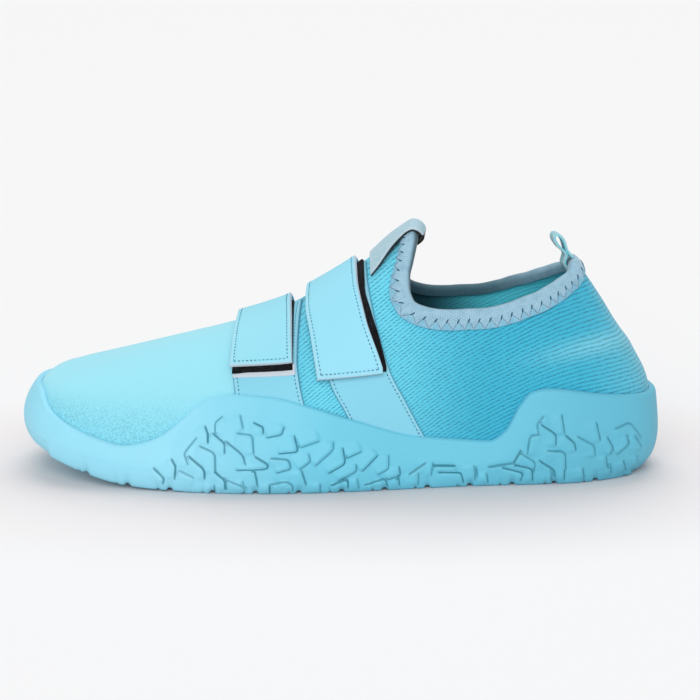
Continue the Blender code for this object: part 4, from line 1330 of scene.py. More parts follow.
class ShoeColours(bpy.types.PropertyGroup):
    """Colours of the shoe's finishes, some of them painted light and shade."""

    # The rubber's three tones are painted light and shade: lit at the toe, shaded beside the waist and at the
    # heel
    rubber_toe_lit: colour("Rubber, toe", "Sole at the toe", 154, 225, 246)
    rubber_middle_shaded: colour("Rubber, middle", "Sole beside the ball and the waist", 112, 205, 230)
    rubber_heel_shaded: colour("Rubber, heel", "Sole at the heel", 98, 187, 212)
    # Painted shade in the crevices between the lugs
    crevice: colour("Crevice", "Rubber deep between the lugs", 36, 122, 144)
    vamp: colour("Vamp", "Knit over the toes", 152, 226, 242)
    quarter: colour("Quarter", "Knit round the heel", 56, 184, 216)
    quarter_front: colour("Quarter, front", "Knit behind the straps", 110, 221, 246)
    knit_shadow: colour("Knit shadow", "Knit between its courses", 10, 90, 114)
    lining: colour("Lining", "Inside of the knit", 86, 216, 234)
    # Painted shade on the lining deep under the instep
    lining_shade: colour("Lining, deep", "Inside of the knit under the instep", 16, 70, 82)
    footbed: colour("Footbed", "Top of the insole", 40, 140, 156)
    strap: colour("Front strap", "Face of the front strap", 150, 221, 238)
    strap_rear: colour("Rear strap", "Face of the rear strap", 152, 222, 244)
    base: colour("Base", "Sewn bases under the straps", 136, 211, 233)
    # Painted shadow along the bases' cut edges
    base_edge_shadow: colour("Base edge", "Cut edges of the sewn bases", 74, 150, 174)
    cut_edge: colour("Cut edge", "Cut edges of straps and ribbons", 204, 212, 222)
    tape: colour("Hook tape", "Ground of the hook tape", 12, 12, 15)
    tape_hooks: colour("Hooks", "Hooks of the tape", 32, 34, 39)
    binding: colour("Binding", "Collar binding", 158, 196, 216)
    binding_shadow: colour("Binding shadow", "Collar binding between its yarns", 134, 176, 198)
    ribbon: colour("Ribbon", "Tab at the collar's peak", 152, 199, 213)
    loop: colour("Loop", "Heel loop", 116, 202, 214)
    thread: colour("Thread", "Seams of the straps", 26, 72, 94)
    zigzag: colour("Zigzag thread", "Seam of the binding", 100, 140, 162)
    floor: colour("Floor", "Studio floor", 246, 246, 247)
    # Painted shadow on the floor under the shoe
    floor_shadow: colour("Floor, near", "Studio floor under the shoe", 234, 225, 225)


class StudioSettings(bpy.types.PropertyGroup):
    """Camera and light."""

    elevation: bpy.props.FloatProperty(
        name="Elevation", description="Camera above the horizon", default=math.radians(12), subtype="ANGLE"
    )
    distance: size("Distance", "Camera to the middle of the picture", 0.9)
    lens: bpy.props.FloatProperty(
        name="Lens", description="Focal length in millimetres", default=106.2, min=1.0, unit="CAMERA"
    )
    key: light_level("Key", "Strength of the light in front", 1.5)
    back: light_level("Back", "Strength of the light behind", 1.2)
    fill: light_level("Fill", "Strength of the light all round", 0.45)


# The sole


def middle_line(along):
    """The middle of the sole and half its width at the feather edge."""
    u = spoke_at(along)
    sides = ring("side", u), ring("side", 1 - u)
    return (sides[0] + sides[1]) / 2, np.maximum((sides[1] - sides[0]) / 2, TREAD_HALF_LEAST)


def tread_lug(along, side):
    """1 on a lug of the tread and 0 in the grooves between the lugs."""
    middle, half = middle_line(along)
    across = np.clip((side - middle) / half, -1, 1)
    place_in_rows = (along - TREAD_LEAN * np.abs(across) - TREAD_FIRST) / TREAD_PITCH + 0.5
    row = np.floor(place_in_rows)
    to_groove = (0.5 - np.abs(place_in_rows - row - 0.5)) * TREAD_PITCH - TREAD_GAP / 2
    count = np.where(row % 2 == 0, *TREAD_LUGS)
    cell = (across + 1) / 2 * count
    split = np.round(cell)
    to_split = np.abs(cell - split) / count * 2 * half - TREAD_GAP / 2
    outer = (split == 0) | (split == count)
    to_edge = np.minimum(to_groove, np.where(outer, TREAD_PITCH, to_split))
    there = (row >= 0) & (row < TREAD_ROWS)
    lug = np.where(there, smooth_step(to_edge / TREAD_BEVEL + 0.5), 0.0)
    nicks = np.array(TREAD_NICKS) * mm
    lean = along - 2 * TREAD_LEAN * (np.abs(across) - 1)
    to_nick = np.abs(np.subtract.outer(lean, nicks)).min(-1) - NICK_GAP / 2
    in_rim = smooth_step((np.abs(across) - NICK_START) / NICK_RUN)
    nick = (1 - smooth_step(to_nick / NICK_BEVEL + 0.5)) * in_rim
    return lug * (1 - NICK_DEPTH * nick)


def sag(along):
    """How far the tread hangs below the spring of the toe."""
    return TOE_SAG * np.exp(-(((along - TOE_SAG_MIDDLE) / TOE_SAG_RUN) ** 2))


def rounded(line):
    """A line of points with its corners cut twice."""
    for _ in range(2):
        near = (1 - LUG_CORNER_CUT) * line[:-1] + LUG_CORNER_CUT * line[1:]
        far = LUG_CORNER_CUT * line[:-1] + (1 - LUG_CORNER_CUT) * line[1:]
        line = np.concatenate([line[:1], np.stack([near, far], 1).reshape(-1, 2)[1:-1], line[-1:]])
    return line


def lug_relief(along, height):
    """How far the rubber wall stands proud at points of its side; for its finish also the distance from the
    nearest crevice, which side of it they lie on, and how strong it is there."""
    proud = np.zeros_like(along)
    trench = np.zeros_like(along)
    near = np.full_like(along, LUG_NEAR)
    side_of = np.full_like(along, LUG_NEAR)
    strength = np.zeros_like(along)
    for number, stroke in enumerate(LUG_STROKES):
        line = rounded(np.array(stroke) * mm)
        reach = LUG_RUN + LUG_FADE
        close = (along > line[:, 0].min() - reach) & (along < line[:, 0].max() + reach)
        close &= (height > line[:, 1].min() - reach) & (height < line[:, 1].max() + reach)
        spot = np.stack([along[close], height[close]], -1)
        nearest = np.full(len(spot), np.inf)
        hand = np.zeros(len(spot))
        past = np.zeros(len(spot))
        for i, (start, end) in enumerate(zip(line[:-1], line[1:])):
            run = end - start
            length = np.linalg.norm(run)
            way = (spot - start) @ run / length**2
            inside = np.clip(way, 0, 1)
            away = np.linalg.norm(spot - start - inside[:, None] * run, axis=1)
            right = ((spot - start)[:, 0] * run[1] - (spot - start)[:, 1] * run[0]) / length
            first, final = i == 0, i == len(line) - 2
            beyond = np.where((way < 0) & first, -way, np.where((way > 1) & final, way - 1, 0)) * length
            nearer = away < nearest
            nearest = np.where(nearer, away, nearest)
            hand = np.where(nearer, right, hand)
            past = np.where(nearer, beyond, past)
        fade = smooth_step(1 - past / LUG_FADE)
        side = smooth_step(0.5 + hand / CREVICE_WIDTH)
        plate = LUG_STEP * np.clip(1 - nearest / LUG_RUN, 0, 1) ** LUG_FALL * side * fade
        proud[close] = np.maximum(proud[close], plate)
        trench[close] = np.maximum(trench[close], np.exp(-((nearest / CREVICE_WIDTH) ** 2)) * fade)
        closer = np.zeros_like(close)
        closer[close] = nearest < near[close]
        near[closer] = nearest[closer[close]]
        side_of[closer] = hand[closer[close]]
        swing = CREVICE_STRENGTH_SWING * math.sin(CREVICE_STRENGTH_TURN * number)
        strength[closer] = (fade * (CREVICE_STRENGTH + swing))[closer[close]]
    return proud - LUG_TRENCH * trench, near, side_of, strength


def bottom_row(edge, outward, foot, way):
    """Points of the sole's rounded bottom edge, part of the way from the wall's foot to the tread, and how
    deep in a groove they lie."""
    lug_out, lug_height, groove_out, groove_height, heel_in = (
        through(BOTTOM["way"], BOTTOM[name] * mm, way) for name in BOTTOM_COLUMNS[1:]
    )
    along = edge[:, 0]
    drawn_in = heel_in * smooth_step((along - HEEL_ROUNDING_START) / HEEL_ROUNDING_RUN)
    ease = max(0.0, 1 - way / BOTTOM["way"][1])
    foot_out = np.sum((foot - edge) * outward, 1)
    foot_height = foot[:, 2] - spring(along)
    extra_out = (foot_out - BOTTOM["lug_out"][0] * mm) * max(ease, 1 - way)
    extra_height = (foot_height - BOTTOM["lug_height"][0] * mm) * ease
    guess = edge + (lug_out - drawn_in)[:, None] * outward
    lug = 1 - NOTCH_DEPTH * (1 - tread_lug(guess[:, 0], guess[:, 1]))
    out = groove_out + (lug_out - groove_out) * lug - drawn_in + extra_out
    level = groove_height + (lug_height - groove_height) * lug + extra_height
    point = edge + out[:, None] * outward
    drop = sag(point[:, 0]) * smooth_step(way)
    return np.column_stack([point[:, :2], spring(point[:, 0]) + level - drop]), (1 - lug) * way


def tread_row(rim, middle, share):
    """Points of the tread, a share of the way from its rim to its middle, and how deep in a groove."""
    point = rim * (1 - share) + middle * share
    lug = tread_lug(point[:, 0], point[:, 1])
    groove = (NOTCH_DEPTH + (1 - NOTCH_DEPTH) * smooth_step(share / NOTCH_RUN)) * (1 - lug)
    level = BOTTOM["groove_height"][-1] * mm * groove
    drop = sag(point[:, 0]) * (1 - smooth_step(share))
    return np.column_stack([point[:, :2], spring(point[:, 0]) + level - drop]), groove


def sole_grid(u):
    """Rows of points from the middle of the sole's floor over its wall to the middle of its tread, and the
    masks of its finish."""
    edge, outward = feather(u)
    along = edge[:, 0]
    lip = wall_lip(along)
    top = height_on_spoke(u, wall_height(along))
    shoulder = height_on_spoke(u, wall_height(along) - lip)
    plain = np.zeros_like(u)
    none = (plain + LUG_NEAR, plain + LUG_NEAR, plain)
    middle_along = np.clip(along, *TREAD_MIDDLE)
    middle = np.stack([middle_along, middle_line(middle_along)[0], plain], -1)
    rows, grooves, strokes = [], [], []

    def add_row(points, groove=plain, stroke=none):
        rows.append(points)
        grooves.append(groove)
        strokes.append(stroke)

    def add_wall(points, facing, keep, groove=plain):
        proud, *stroke = lug_relief(points[:, 0], points[:, 2])
        add_row(points + (proud * keep)[:, None] * facing, groove, stroke)

    for share in SOLE_FLOOR_SHARES:
        point = edge + GAP * outward
        point = point * (1 - share) + middle * share
        add_row(np.column_stack([point[:, :2], spring(point[:, 0]) + SOLE_FLOOR]))
    for share in SOLE_INSIDE_SHARES:
        add_row(skin(u, top * share, plain + LIP_CONTACT))
    normal = last_normal(u, top)
    climb = unit(last(u, top + 2e-3) - last(u, top - 2e-3))
    width = wall_out(along, shoulder / top) - LIP_CONTACT
    for turn in np.radians(SOLE_LIP_TURNS):
        out = LIP_CONTACT + width * math.sin(turn)
        drop = lip * (math.cos(turn) - 1)
        add_row(last(u, top) + out[:, None] * normal + drop[:, None] * climb)
    for share in np.linspace(1, 0, SOLE_WALL_ROWS):
        v = shoulder * share
        add_wall(skin(u, v, wall_out(along, v / top)), last_normal(u, v), plain + 1)
    foot = skin(u, plain, wall_out(along, plain))
    for way in SOLE_BOTTOM_WAYS:
        point, groove = bottom_row(edge, outward, foot, way)
        keep = plain + smooth_step((BOTTOM_RELIEF_END - way) / BOTTOM_RELIEF_FADE)
        add_wall(point, outward, keep, groove)
    rim = rows[-1]
    for share in np.linspace(0, 1, TREAD_GRID_ROWS + 1)[1:]:
        add_row(*tread_row(rim, middle, share))
    masks = dict(zip(("near_stroke", "stroke_side", "stroke"), np.array(strokes).swapaxes(0, 1)))
    return np.array(rows), {"groove": np.array(grooves), **masks}


class SHOE_OT_sole(bpy.types.Operator):
    """Moulds the rubber cup sole with its lug plates and tread"""

    bl_idname = "shoe.sole"
    bl_label = "Rubber sole"

    def execute(self, context):
        points, masks = sole_grid(ring_columns(SOLE_STATIONS, fine=0.6))
        sole = weld(add_sheet("rubber_sole", points, masks=masks))
        dress(sole, "rubber", ["sole"], rubber_look(context.scene.shoe_colours))
        return {"FINISHED"}


# The upper


def upper_columns(count):
    """For columns of the outer side, ring position of the foot, and ring position and climb of the top: the
    tops follow the ridge from the toe to the collar's peak, and then the collar's edge to the heel."""
    peak = COLLAR["ring"][0]
    front = columns(UPPER_FOOT_COLUMNS, UPPER_FOOT_ROWS)
    below = np.arange(COLLAR_LOW_ROW, len(COLLAR_ROWS))
    way = np.concatenate([front["way"], 1 + below / (len(COLLAR_ROWS) - 1)])
    foot_at = np.concatenate([front["ring"], COLLAR["ring"][below]])
    fine = np.linspace(0, 2, 1601)
    edge_u, edge_v = collar_edge(np.clip(fine - 1, 0, 1))
    foot = through(way, foot_at, fine)
    top_u = np.where(fine < 1, fine * peak, edge_u)
    top_v = np.where(fine < 1, 1.0, edge_v)
    run = run_length(last(foot, 0 * foot)) + run_length(last(top_u, top_v))
    even = np.interp(np.linspace(0, run[-1], count // 2 + 1), run, fine)
    return tuple(np.interp(even, fine, line) for line in (foot, top_u, top_v))


def crease_depth(u, v):
    """How far the soft creases press into the upper."""
    depth = np.zeros_like(u)
    point = last(u, v)
    for row in CREASE_ROWS:
        crease = dict(zip(CREASE_COLUMNS, row))
        at = spoke_at(crease["along_mm"] * mm)
        girth = crease["girth"]
        way = unit(last(at, girth + 0.01) - last(at, girth - 0.01))
        side = unit(np.cross(last_normal(at, girth), way))
        angle = math.radians(crease["turn"])
        run = way * math.cos(angle) + side * math.sin(angle)
        across = side * math.cos(angle) - way * math.sin(angle)
        offset = point - last(at, girth)
        lengthways = (offset @ run) / (crease["length_mm"] * mm / 2)
        sideways = (offset @ across) / (crease["width_mm"] * mm / 2)
        depth += crease["depth_mm"] * mm * np.exp(-(lengthways**2) - sideways**2)
    return depth


def upper_grid():
    """Points of the upper, its map in metres round and up the shoe, and the masks of its zones."""
    foot, top_u, top_v = upper_columns(UPPER_STATIONS)
    rise = np.linspace(0, 1, UPPER_ROWS)[:, None]
    u = foot + (top_u - foot) * rise
    v = top_v * rise
    u = np.concatenate([u, 1 - u[:, -2::-1]], 1)
    v = np.concatenate([v, v[:, -2::-1]], 1)
    creases = crease_depth(u, v)
    points = skin(u, v, -creases)
    along = points[..., 0]
    ribs = smooth_step((along - RIBS_START) / RIBS_RUN)
    round_foot = np.linspace(0, 1, 2001)
    round_length = run_length(feather(round_foot)[0])
    from_heel = np.interp(u, round_foot, round_length) - np.interp(0.5, round_foot, round_length)
    spots = np.linspace(0, SOLE_LENGTH, 600)
    slope = through(COURSE_SLOPE["along_mm"] * mm, COURSE_SLOPE["slope"], spots)
    climb = np.cumsum(slope) * (spots[1] - spots[0])
    uv = np.stack([from_heel, points[..., 2] - np.interp(along, spots, climb)], -1)
    low = smooth_step((MESH_TOE_CLIMB - v) / MESH_TOE_CLIMB_RUN)
    toe_mesh = MESH_TOE_SHARE * smooth_step((MESH_TOE - along) / MESH_TOE_RUN) * low
    side_mesh = smooth_step((along - MESH_START) / MESH_RUN) * (1 - ribs)
    masks = {
        "ribs": ribs,
        "quarter": smooth_step((along - QUARTER_START) / QUARTER_RUN),
        "stretch_and_highlight": np.clip(-creases / STRETCH_HIGHLIGHT_DEPTH, 0, 1) * ribs,
        "open_mesh": np.maximum(side_mesh, toe_mesh),
    }
    return points, uv, masks


class SHOE_OT_upper(bpy.types.Operator):
    """Shapes the knit upper with its soft creases and its lining"""

    bl_idname = "shoe.upper"
    bl_label = "Knit upper"

    def execute(self, context):
        colours = context.scene.shoe_colours
        upper = weld(add_sheet("knit_upper", *upper_grid()))
        spot = coordinates(upper)
        select_points(upper, (spot[:, 0] < TOE_EASE_ALONG) & (spot[:, 2] > TOE_EASE_HEIGHT))
        bpy.ops.mesh.vertices_smooth(factor=TOE_EASE_FACTOR, repeat=TOE_EASE_REPEAT)
        bpy.ops.object.mode_set(mode="OBJECT")
        for look in (knit_look(colours), lining_look(colours)):
            upper.data.materials.append(look)
        apply_modifier(
            upper, "SOLIDIFY", thickness=KNIT_WALL, offset=-1, material_offset=1, material_offset_rim=1
        )
        dress(upper, "knit", ["upper"])
        return {"FINISHED"}


# The footbed


class SHOE_OT_footbed(bpy.types.Operator):
    """Lays the cupped foam footbed on the sole's floor"""

    bl_idname = "shoe.footbed"
    bl_label = "Footbed"

    def execute(self, context):
        u = ring_columns(FOOTBED_STATIONS)
        edge, outward = feather(u)
        rim = edge - (KNIT_WALL + 2 * GAP) * outward
        middle_along = np.clip(edge[:, 0], *TREAD_MIDDLE)
        middle = np.column_stack([middle_along, middle_line(middle_along)[0], 0 * u])
        table = columns(FOOTBED_COLUMNS, FOOTBED_ROWS)
        rows = []
        for share, height in zip(table["share_out"], table["height_mm"] * mm):
            point = rim * share + middle * (1 - share)
            rows.append(np.column_stack([point[:, :2], spring(point[:, 0]) + SOLE_FLOOR + GAP + height]))
        footbed = weld(add_sheet("footbed", rows[::-1]))
        dress(footbed, "foam", ["insole"], footbed_look(context.scene.shoe_colours))
        return {"FINISHED"}


# The collar binding


def band_out(share, thick):
    """How far the band's outer face stands out, from its fold (0) to its lower edge (1)."""
    share = np.asarray(share)
    puff = thick + BINDING_PUFF * np.sin(math.pi * share) ** BINDING_ROUNDNESS
    return GAP + puff * (1 - BINDING_THINNING * smooth_step((share - BINDING_THIN_START) / BINDING_THIN_RUN))


def binding_section(width, thick):
    """The folded band's outline, out from the knit's outer face and up beyond its edge, for each width."""
    inside = -KNIT_WALL - BINDING_SLACK
    centre = (GAP + inside) / 2
    half = (GAP - inside) / 2 + thick
    rows = [(GAP + 0.2 * thick, 1.0 * width), (GAP + 0.5 * thick, width - 0.15 * mm)]
    for share in BINDING_OUTER_SHARES:
        rows.append((float(band_out(share, thick)), share * width))
    for turn in np.linspace(0, math.pi, BINDING_FOLD_TURNS + 1)[1:-1]:
        rise = (2 * GAP + thick) * math.sin(turn)
        rows.append((centre + half * math.cos(turn), -rise + 0 * width))
    for share in BINDING_INNER_SHARES:
        bulge = 0.3 * BINDING_PUFF * math.sin(math.pi * share)
        rows.append((inside - thick - bulge, share * BINDING_INNER_SEEN * width))
    for out, share in ((inside - 0.4 * thick, 1.02), (inside, 0.98), (inside, 0.5), (inside, 0.0)):
        rows.append((out, share * BINDING_INNER_SEEN * width))
    rows += [(inside, -2 * GAP + 0 * width), (GAP, -2 * GAP + 0 * width)]
    rows += [(GAP, share * width) for share in (0.0, 0.3, 0.6, 0.95)]
    return rows + rows[:1]


class SHOE_OT_collar(bpy.types.Operator):
    """Folds the stretch binding over the collar's edge and sews it with a zigzag seam"""

    bl_idname = "shoe.collar"
    bl_label = "Collar binding"

    def execute(self, context):
        sizes = context.scene.shoe_sizes
        colours = context.scene.shoe_colours
        share, distance = collar_stations(BINDING_STATIONS)
        width = self.width(sizes, share)
        section = binding_section(width, sizes.binding_thickness)
        rows = [by_collar(share, out, -down) for out, down in section]
        steps = np.linalg.norm(np.diff(rows, axis=0), axis=-1).mean(1)
        tour = np.concatenate([[0], np.cumsum(steps)])
        uv = np.stack(np.broadcast_arrays(distance, tour[:, None]), -1)
        outer = np.array([out > 0 for out, _ in section])
        down = np.array([np.maximum(low / width, 0) for _, low in section]) * outer[:, None]
        inner = np.array([smooth_step(0.5 - out / KNIT_WALL) for out, _ in section])[:, None]
        band = weld(add_sheet("collar_band", rows, uv, {"down": down, "inner": inner}))
        pitch = distance[-1] / round(distance[-1] / sizes.zigzag_pitch)
        dress(band, "ribbing", ["collar_binding"], binding_look(colours, pitch))
        self.sew(sizes, colours, share, distance)
        return {"FINISHED"}

    @staticmethod
    def width(sizes, share):
        to_heel = smooth_step((np.abs(share) - 1) / BINDING_HEEL_SHARE + 1)
        to_peak = smooth_step((BINDING_PEAK_SHARE - np.abs(share)) / BINDING_PEAK_RUN)
        width = sizes.binding_width + (sizes.binding_width_heel - sizes.binding_width) * to_heel
        return width * (1 - BINDING_PEAK_EASE * to_peak)

    def sew(self, sizes, colours, share, distance):
        """A zigzag seam on the outer leg, with dark needle pulls at its upper points."""
        count = int(round(distance[-1] / sizes.zigzag_pitch))
        at = np.linspace(0, distance[-1], 2 * count + 1)
        place_on = np.interp(at, distance, share)
        width = self.width(sizes, place_on)
        thick = sizes.binding_thickness
        low = np.arange(len(at)) % 2 == 0
        down = np.where(low, ZIGZAG_BOTTOM, ZIGZAG_TOP)
        line = by_collar(place_on, band_out(down, thick), -down * width)
        normal = collar_frame(place_on)[1]
        short = np.linalg.norm(np.diff(line, axis=0), axis=1) < 2 * sizes.zigzag_pitch
        ends = line[:-1][short], line[1:][short]
        seam = add_threads("binding_seam", *ends, normal[:-1][short], sizes.thread)
        dress(seam, "ribbing", None, thread_look("binding_thread", colours.zigzag, colours.binding_shadow))
        tick = []
        for way in (-1, 1):
            spot = np.interp(at[~low] + way * TICK_LEAN, distance, share)
            down = ZIGZAG_TOP - way * TICK_SHARE
            tick.append(by_collar(spot, band_out(down, thick), -down * width[~low]))
        short = np.linalg.norm(tick[1] - tick[0], axis=1) < sizes.zigzag_pitch
        ends = tick[0][short], tick[1][short]
        ticks = add_threads("needle_pulls", *ends, normal[~low][short], TICK_THREADS * sizes.thread)
        dress(ticks, "ribbing", None, thread_look("needle_pull", colours.thread, colours.knit_shadow))


# The straps


def strip_grid(rows, stand_off, corner, tuck=0.0):
    """Points over a strip of the upper and the directions away from it; stand_off is the gap to the upper
    along the girth, and tuck the length of the low end behind the rubber wall."""
    table = columns(STRIP_COLUMNS, rows)
    first, final = table["girth"][0], table["girth"][-1]

    def across(share, girth):
        front = through(table["girth"], table["front_mm"], girth)
        return (front + share * (through(table["girth"], table["rear_mm"], girth) - front)) * mm

    girth = np.linspace(0, final, 400)
    length = run_length(last(*on_girth(across(0.5, girth), girth)))
    widest = ((table["rear_mm"] - table["front_mm"]) * mm).max()
    ends = fine_ends(length[-1], CELL, corner) / length[-1]
    base, normal = [], []
    for share in fine_ends(widest, CELL, corner) / widest:
        low, high = first, final
        level = first + STRIP_SKEW * (share - 0.5)
        for _ in range(4):
            low = max(level, float(over_sole(across(share, low))[0]))
            high = min(final, 2 - float(over_sole(across(share, high))[0]))
        start, end = np.interp((low, high), girth, length)
        start -= min(tuck, start)
        column = np.interp(start + (end - start) * ends, length, girth)
        u, v = on_girth(across(share, column), column)
        base.append(skin(u, v, stand_off(column)))
        normal.append(last_normal(u, v))
    return np.stack(base, 1), np.stack(normal, 1)


def inset_line(base, normal, inset, edge):
    """Points and directions at a distance inside an edge of a strip: its front, its rear or its end."""
    both = np.concatenate([base, normal], -1)
    lines = {"front": both, "rear": both[:, ::-1], "end": both.swapaxes(0, 1)}[edge]
    return np.array([along_line(line, run_length(line[:, :3]), inset) for line in lines])


def dashes(line, trim, sizes, rise):
    """Starts, ends and directions of the stitches along a line, raised from it; trim is left free at its
    two ends."""
    run = run_length(line[:, :3])
    step = sizes.stitch_length + sizes.stitch_gap
    at = np.arange(trim[0], run[-1] - trim[1] - sizes.stitch_length, step)
    start = along_line(line, run, at)
    end = along_line(line, run, at + sizes.stitch_length)
    normal = unit(start[:, 3:])
    return start[:, :3] + rise * normal, end[:, :3] + rise * normal, normal


class SHOE_OT_straps(bpy.types.Operator):
    """Sews the two straps with their bases and hook tape"""

    bl_idname = "shoe.straps"
    bl_label = "Straps"

    def execute(self, context):
        self.sizes = context.scene.shoe_sizes
        self.seams = []
        colours = context.scene.shoe_colours
        sizes = self.sizes
        tape_gap = GAP + sizes.base_thickness + GAP
        strap_gap = tape_gap + sizes.tape_thickness + GAP

        def strap_stand_off(girth):
            return strap_gap + (GAP - strap_gap) * smooth_step((girth - STRAP_EASE_START) / STRAP_EASE_RUN)

        def level(gap):
            return lambda girth: np.full_like(girth, gap)

        strap = strap_look(
            colours, "coated_strap", STRAP_EDGE, colours.strap, colours.strap_rear, colours.cut_edge
        )
        base = strap_look(colours, "strap_base", BASE_EDGE, colours.base, colours.base, colours.base_edge_shadow)
        tape = tape_look(colours)
        for name, base_rows, tape_rows, strap_rows in (
            ("strap_front", FRONT_BASE_ROWS, FRONT_TAPE_ROWS, FRONT_STRAP_ROWS),
            ("strap_rear", REAR_BASE_ROWS, REAR_TAPE_ROWS, REAR_STRAP_ROWS),
        ):
            self.layer(name + "_base", base_rows, level(GAP), sizes.base_thickness, base, ("front", "rear"))
            self.layer(name + "_tape", tape_rows, level(tape_gap), sizes.tape_thickness, tape, ())
            edges = ("front", "rear", "end")
            self.layer(name, strap_rows, strap_stand_off, sizes.strap_thickness, strap, edges)
        stripe_gap = level(GAP + sizes.base_thickness)
        stripe = ribbon_look(colours, "stripe", colours.cut_edge, colours.cut_edge)
        self.layer("strap_stripe", FRONT_STRIPE_ROWS, stripe_gap, STRIPE_THICKNESS, stripe, ())
        threads = add_threads("strap_stitches", *map(np.concatenate, zip(*self.seams)), sizes.thread)
        dress(threads, "coated_strap", None, thread_look("strap_thread", colours.thread, colours.quarter))
        return {"FINISHED"}

    def layer(self, name, rows, stand_off, thickness, look, edges):
        """One flat layer, pressed in along its seams."""
        inset = self.sizes.stitch_inset
        tuck = BASE_TUCK if name.endswith("base") else 0.0
        base, normal = strip_grid(rows, stand_off, EDGE_ROUNDING, tuck)

        def pressed(border):
            return SEAM_DEPTH * np.exp(-(((border - inset) / SEAM_WIDTH) ** 2)) * bool(edges)

        piece = add_slab(name + "_finish", base, normal, thickness, EDGE_ROUNDING, pressed)
        tape = name.endswith("tape")
        nodes = None if name == "strap_stripe" else [name]
        dress(piece, "hook_tape" if tape else "coated_strap", nodes, look)
        for edge in edges:
            trim = (inset, inset) if edge == "end" else (inset, EDGE_ROUNDING)
            line = inset_line(base, normal, inset, edge)
            self.seams.append(dashes(line, trim, self.sizes, thickness - SEAM_DEPTH + STITCH_RISE))


# The tab and the heel loop


def spline(points, count, corner):
    """A smooth line through points, with its ends fit for rounding."""
    chord = run_length(points)
    slope = np.gradient(points, chord, axis=0)
    fine = np.linspace(0, chord[-1], 400)
    i = np.clip(np.searchsorted(chord, fine) - 1, 0, len(chord) - 2)
    gap = (chord[i + 1] - chord[i])[:, None]
    t = ((fine - chord[i]) / gap[:, 0])[:, None]
    line = points[i] * (1 + 2 * t) * (1 - t) ** 2 + points[i + 1] * t * t * (3 - 2 * t)
    line += gap * (slope[i] * t * (1 - t) ** 2 - slope[i + 1] * t * t * (1 - t))
    run = run_length(line)
    ends = fine_ends(1.0, 1.0 / count, corner / run[-1]) * run[-1]
    return along_line(line, run, ends)


def grid_normals(grid):
    """Directions away from a grid of points, on the side where columns turn towards rows."""
    return unit(np.cross(np.gradient(grid, axis=1), np.gradient(grid, axis=0)))


class SHOE_OT_tab(bpy.types.Operator):
    """Folds the ribbon tab over the peak of the collar"""

    bl_idname = "shoe.tab"
    bl_label = "Tab"

    def execute(self, context):
        sizes = context.scene.shoe_sizes
        colours = context.scene.shoe_colours
        across = 1 - 2 * fine_ends(1.0, 1 / TAB_CELLS, EDGE_ROUNDING / TAB_WIDTH)
        rows = []
        for s in np.linspace(TAB["feather_mm"][0], TAB["feather_mm"][-1], TAB_OUTER_ROWS):
            edge = through(TAB["feather_mm"], TAB["climb"], s)
            gap = through(TAB["feather_mm"], TAB["stand_off_mm"], s) * mm
            u, v = on_girth(np.full_like(across, s) * mm, 1 + across * (1 - edge))
            rows.append(skin(u, v, np.full_like(across, gap)))
        shares = np.linspace(0, 0.2, 201)
        peak = np.interp(np.abs(across) * (1 - TAB["climb"][-1]), 1 - collar_edge(shares)[1], shares)
        share = np.where(across > 0, -1, 1) * peak
        top = sizes.binding_thickness + TAB_GAP
        inside = -KNIT_WALL - BINDING_SLACK - sizes.binding_thickness - TAB_GAP
        fold = top + TAB_FOLD_RISE
        for out, up in (
            (top, TAB_OUTER_BEND),
            (0.0, fold),
            (inside + TAB_FOLD_INSIDE, fold),
            (inside, TAB_INNER_BEND),
            (inside, TAB_INNER_LEG[0]),
            (inside, TAB_INNER_LEG[1]),
        ):
            rows.append(by_collar(share, out, up))
        rows = np.array(rows)
        grid = np.stack([spline(line, RIBBON_CELLS, EDGE_ROUNDING) for line in rows.swapaxes(0, 1)], 1)
        fold_at = run_length(rows[:, len(across) // 2])[-4]
        length = run_length(grid[:, len(across) // 2])
        turned = smooth_step((length - fold_at) / TAB_TURN + 0.5)[:, None] + 0 * grid[..., 0]
        tab = add_slab(
            "tongue_tab_finish", grid, grid_normals(grid), sizes.tab_thickness, EDGE_ROUNDING, turned=turned
        )
        look = ribbon_look(colours, "ribbon_tab", colours.ribbon, colours.tape)
        dress(tab, "ribbon", ["tongue_tab"], look)
        return {"FINISHED"}


class SHOE_OT_heel_loop(bpy.types.Operator):
    """Bends the ribbon pull loop at the heel"""

    bl_idname = "shoe.heel_loop"
    bl_label = "Heel loop"

    def execute(self, context):
        sizes = context.scene.shoe_sizes
        colours = context.scene.shoe_colours
        point, normal, opening = collar_frame(np.array(1.0))
        path = point + LOOP["out_mm"][:, None] * mm * normal + LOOP["up_mm"][:, None] * mm * opening
        line = spline(path, RIBBON_CELLS, EDGE_ROUNDING)
        across = fine_ends(sizes.loop_width, CELL, EDGE_ROUNDING) - sizes.loop_width / 2
        sideways = np.array([math.sin(LOOP_TWIST), math.cos(LOOP_TWIST), 0])
        grid = line[:, None] + across[None, :, None] * sideways
        facing = grid_normals(grid)
        base = grid - facing * sizes.loop_thickness / 2
        loop = add_slab("heel_loop_finish", base, facing, sizes.loop_thickness, EDGE_ROUNDING)
        look = ribbon_look(colours, "ribbon_loop", colours.loop, colours.loop)
        dress(loop, "ribbon", ["heel_loop"], look)
        return {"FINISHED"}


# The stage


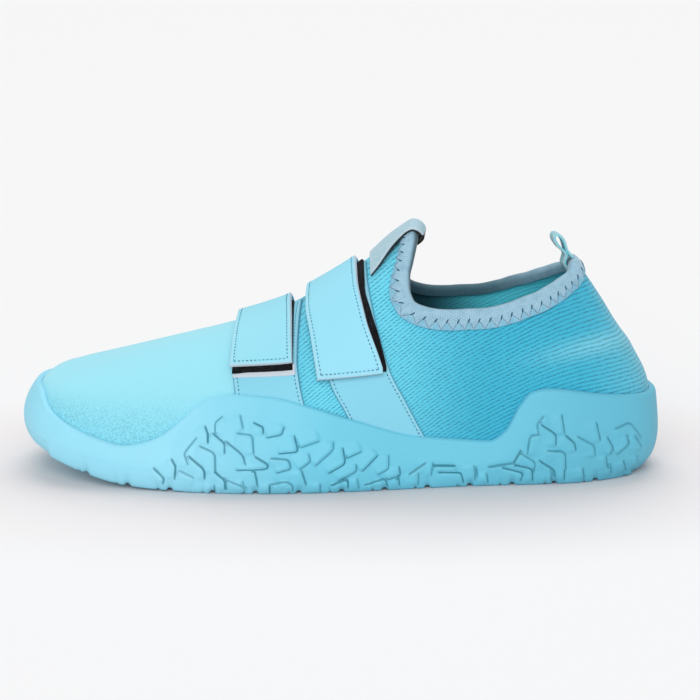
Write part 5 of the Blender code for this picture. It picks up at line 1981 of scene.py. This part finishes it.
class SHOE_OT_stage(bpy.types.Operator):
    """Sets the pale floor, the soft light and the camera"""

    bl_idname = "shoe.stage"
    bl_label = "Studio"

    def execute(self, context):
        studio = context.scene.shoe_studio
        bpy.ops.object.select_all(action="DESELECT")
        bpy.ops.mesh.primitive_plane_add(size=FLOOR_SIZE)
        floor = context.object
        floor.name = "studio_floor"
        floor.data.materials.append(floor_look(context.scene.shoe_colours))
        for name, strength, turn in (
            ("key_light", studio.key, KEY_TURN),
            ("back_light", studio.back, BACK_TURN),
        ):
            bpy.ops.object.light_add(type="SUN", rotation=np.radians(turn))
            light = context.object
            light.name = name
            light.data.energy = strength
            light.data.angle = LIGHT_SPREAD
        world = bpy.data.worlds.new("studio")
        world.use_nodes = True
        sky = world.node_tree.nodes["Background"].inputs
        sky["Color"].default_value = (1, 1, 1, 1)
        sky["Strength"].default_value = studio.fill
        context.scene.world = world
        turn = studio.elevation
        away = np.array([0, -math.cos(turn), math.sin(turn)]) * studio.distance
        spot = np.array(PICTURE_MIDDLE) + away
        bpy.ops.object.camera_add(location=spot, rotation=(math.pi / 2 - turn, 0, 0))
        camera = context.object
        camera.name = "studio_camera"
        camera.data.lens = studio.lens
        camera.data.sensor_width = SENSOR_WIDTH
        camera.data.clip_start = CLIP_START
        context.scene.camera = camera
        context.scene.view_settings.view_transform = "Standard"
        return {"FINISHED"}


OPERATORS = (
    SHOE_OT_sole,
    SHOE_OT_upper,
    SHOE_OT_footbed,
    SHOE_OT_collar,
    SHOE_OT_straps,
    SHOE_OT_tab,
    SHOE_OT_heel_loop,
    SHOE_OT_stage,
)
GROUPS = {"shoe_sizes": ShoeSizes, "shoe_colours": ShoeColours, "shoe_studio": StudioSettings}


class SHOE_PT_panel(bpy.types.Panel):
    """The shoe's pieces, sizes, colours and studio in the sidebar"""

    bl_idname = "SHOE_PT_panel"
    bl_label = "Training shoe"
    bl_space_type = "VIEW_3D"
    bl_region_type = "UI"
    bl_category = "Shoe"

    def draw(self, context):
        for step in OPERATORS:
            self.layout.operator(step.bl_idname)
        for name, group in GROUPS.items():
            box = self.layout.box()
            for prop in group.__annotations__:
                box.prop(getattr(context.scene, name), prop)


def register():
    for group in (*GROUPS.values(), *OPERATORS, SHOE_PT_panel):
        bpy.utils.register_class(group)
    for name, group in GROUPS.items():
        setattr(bpy.types.Scene, name, bpy.props.PointerProperty(type=group))


def unregister():
    for name in GROUPS:
        delattr(bpy.types.Scene, name)
    for group in (SHOE_PT_panel, *OPERATORS[::-1], *GROUPS.values()):
        bpy.utils.unregister_class(group)


def main():
    register()
    bpy.ops.shoe.sole()
    bpy.ops.shoe.upper()
    bpy.ops.shoe.footbed()
    bpy.ops.shoe.collar()
    bpy.ops.shoe.straps()
    bpy.ops.shoe.tab()
    bpy.ops.shoe.heel_loop()
    bpy.ops.shoe.stage()


if __name__ == "__main__":
    main()
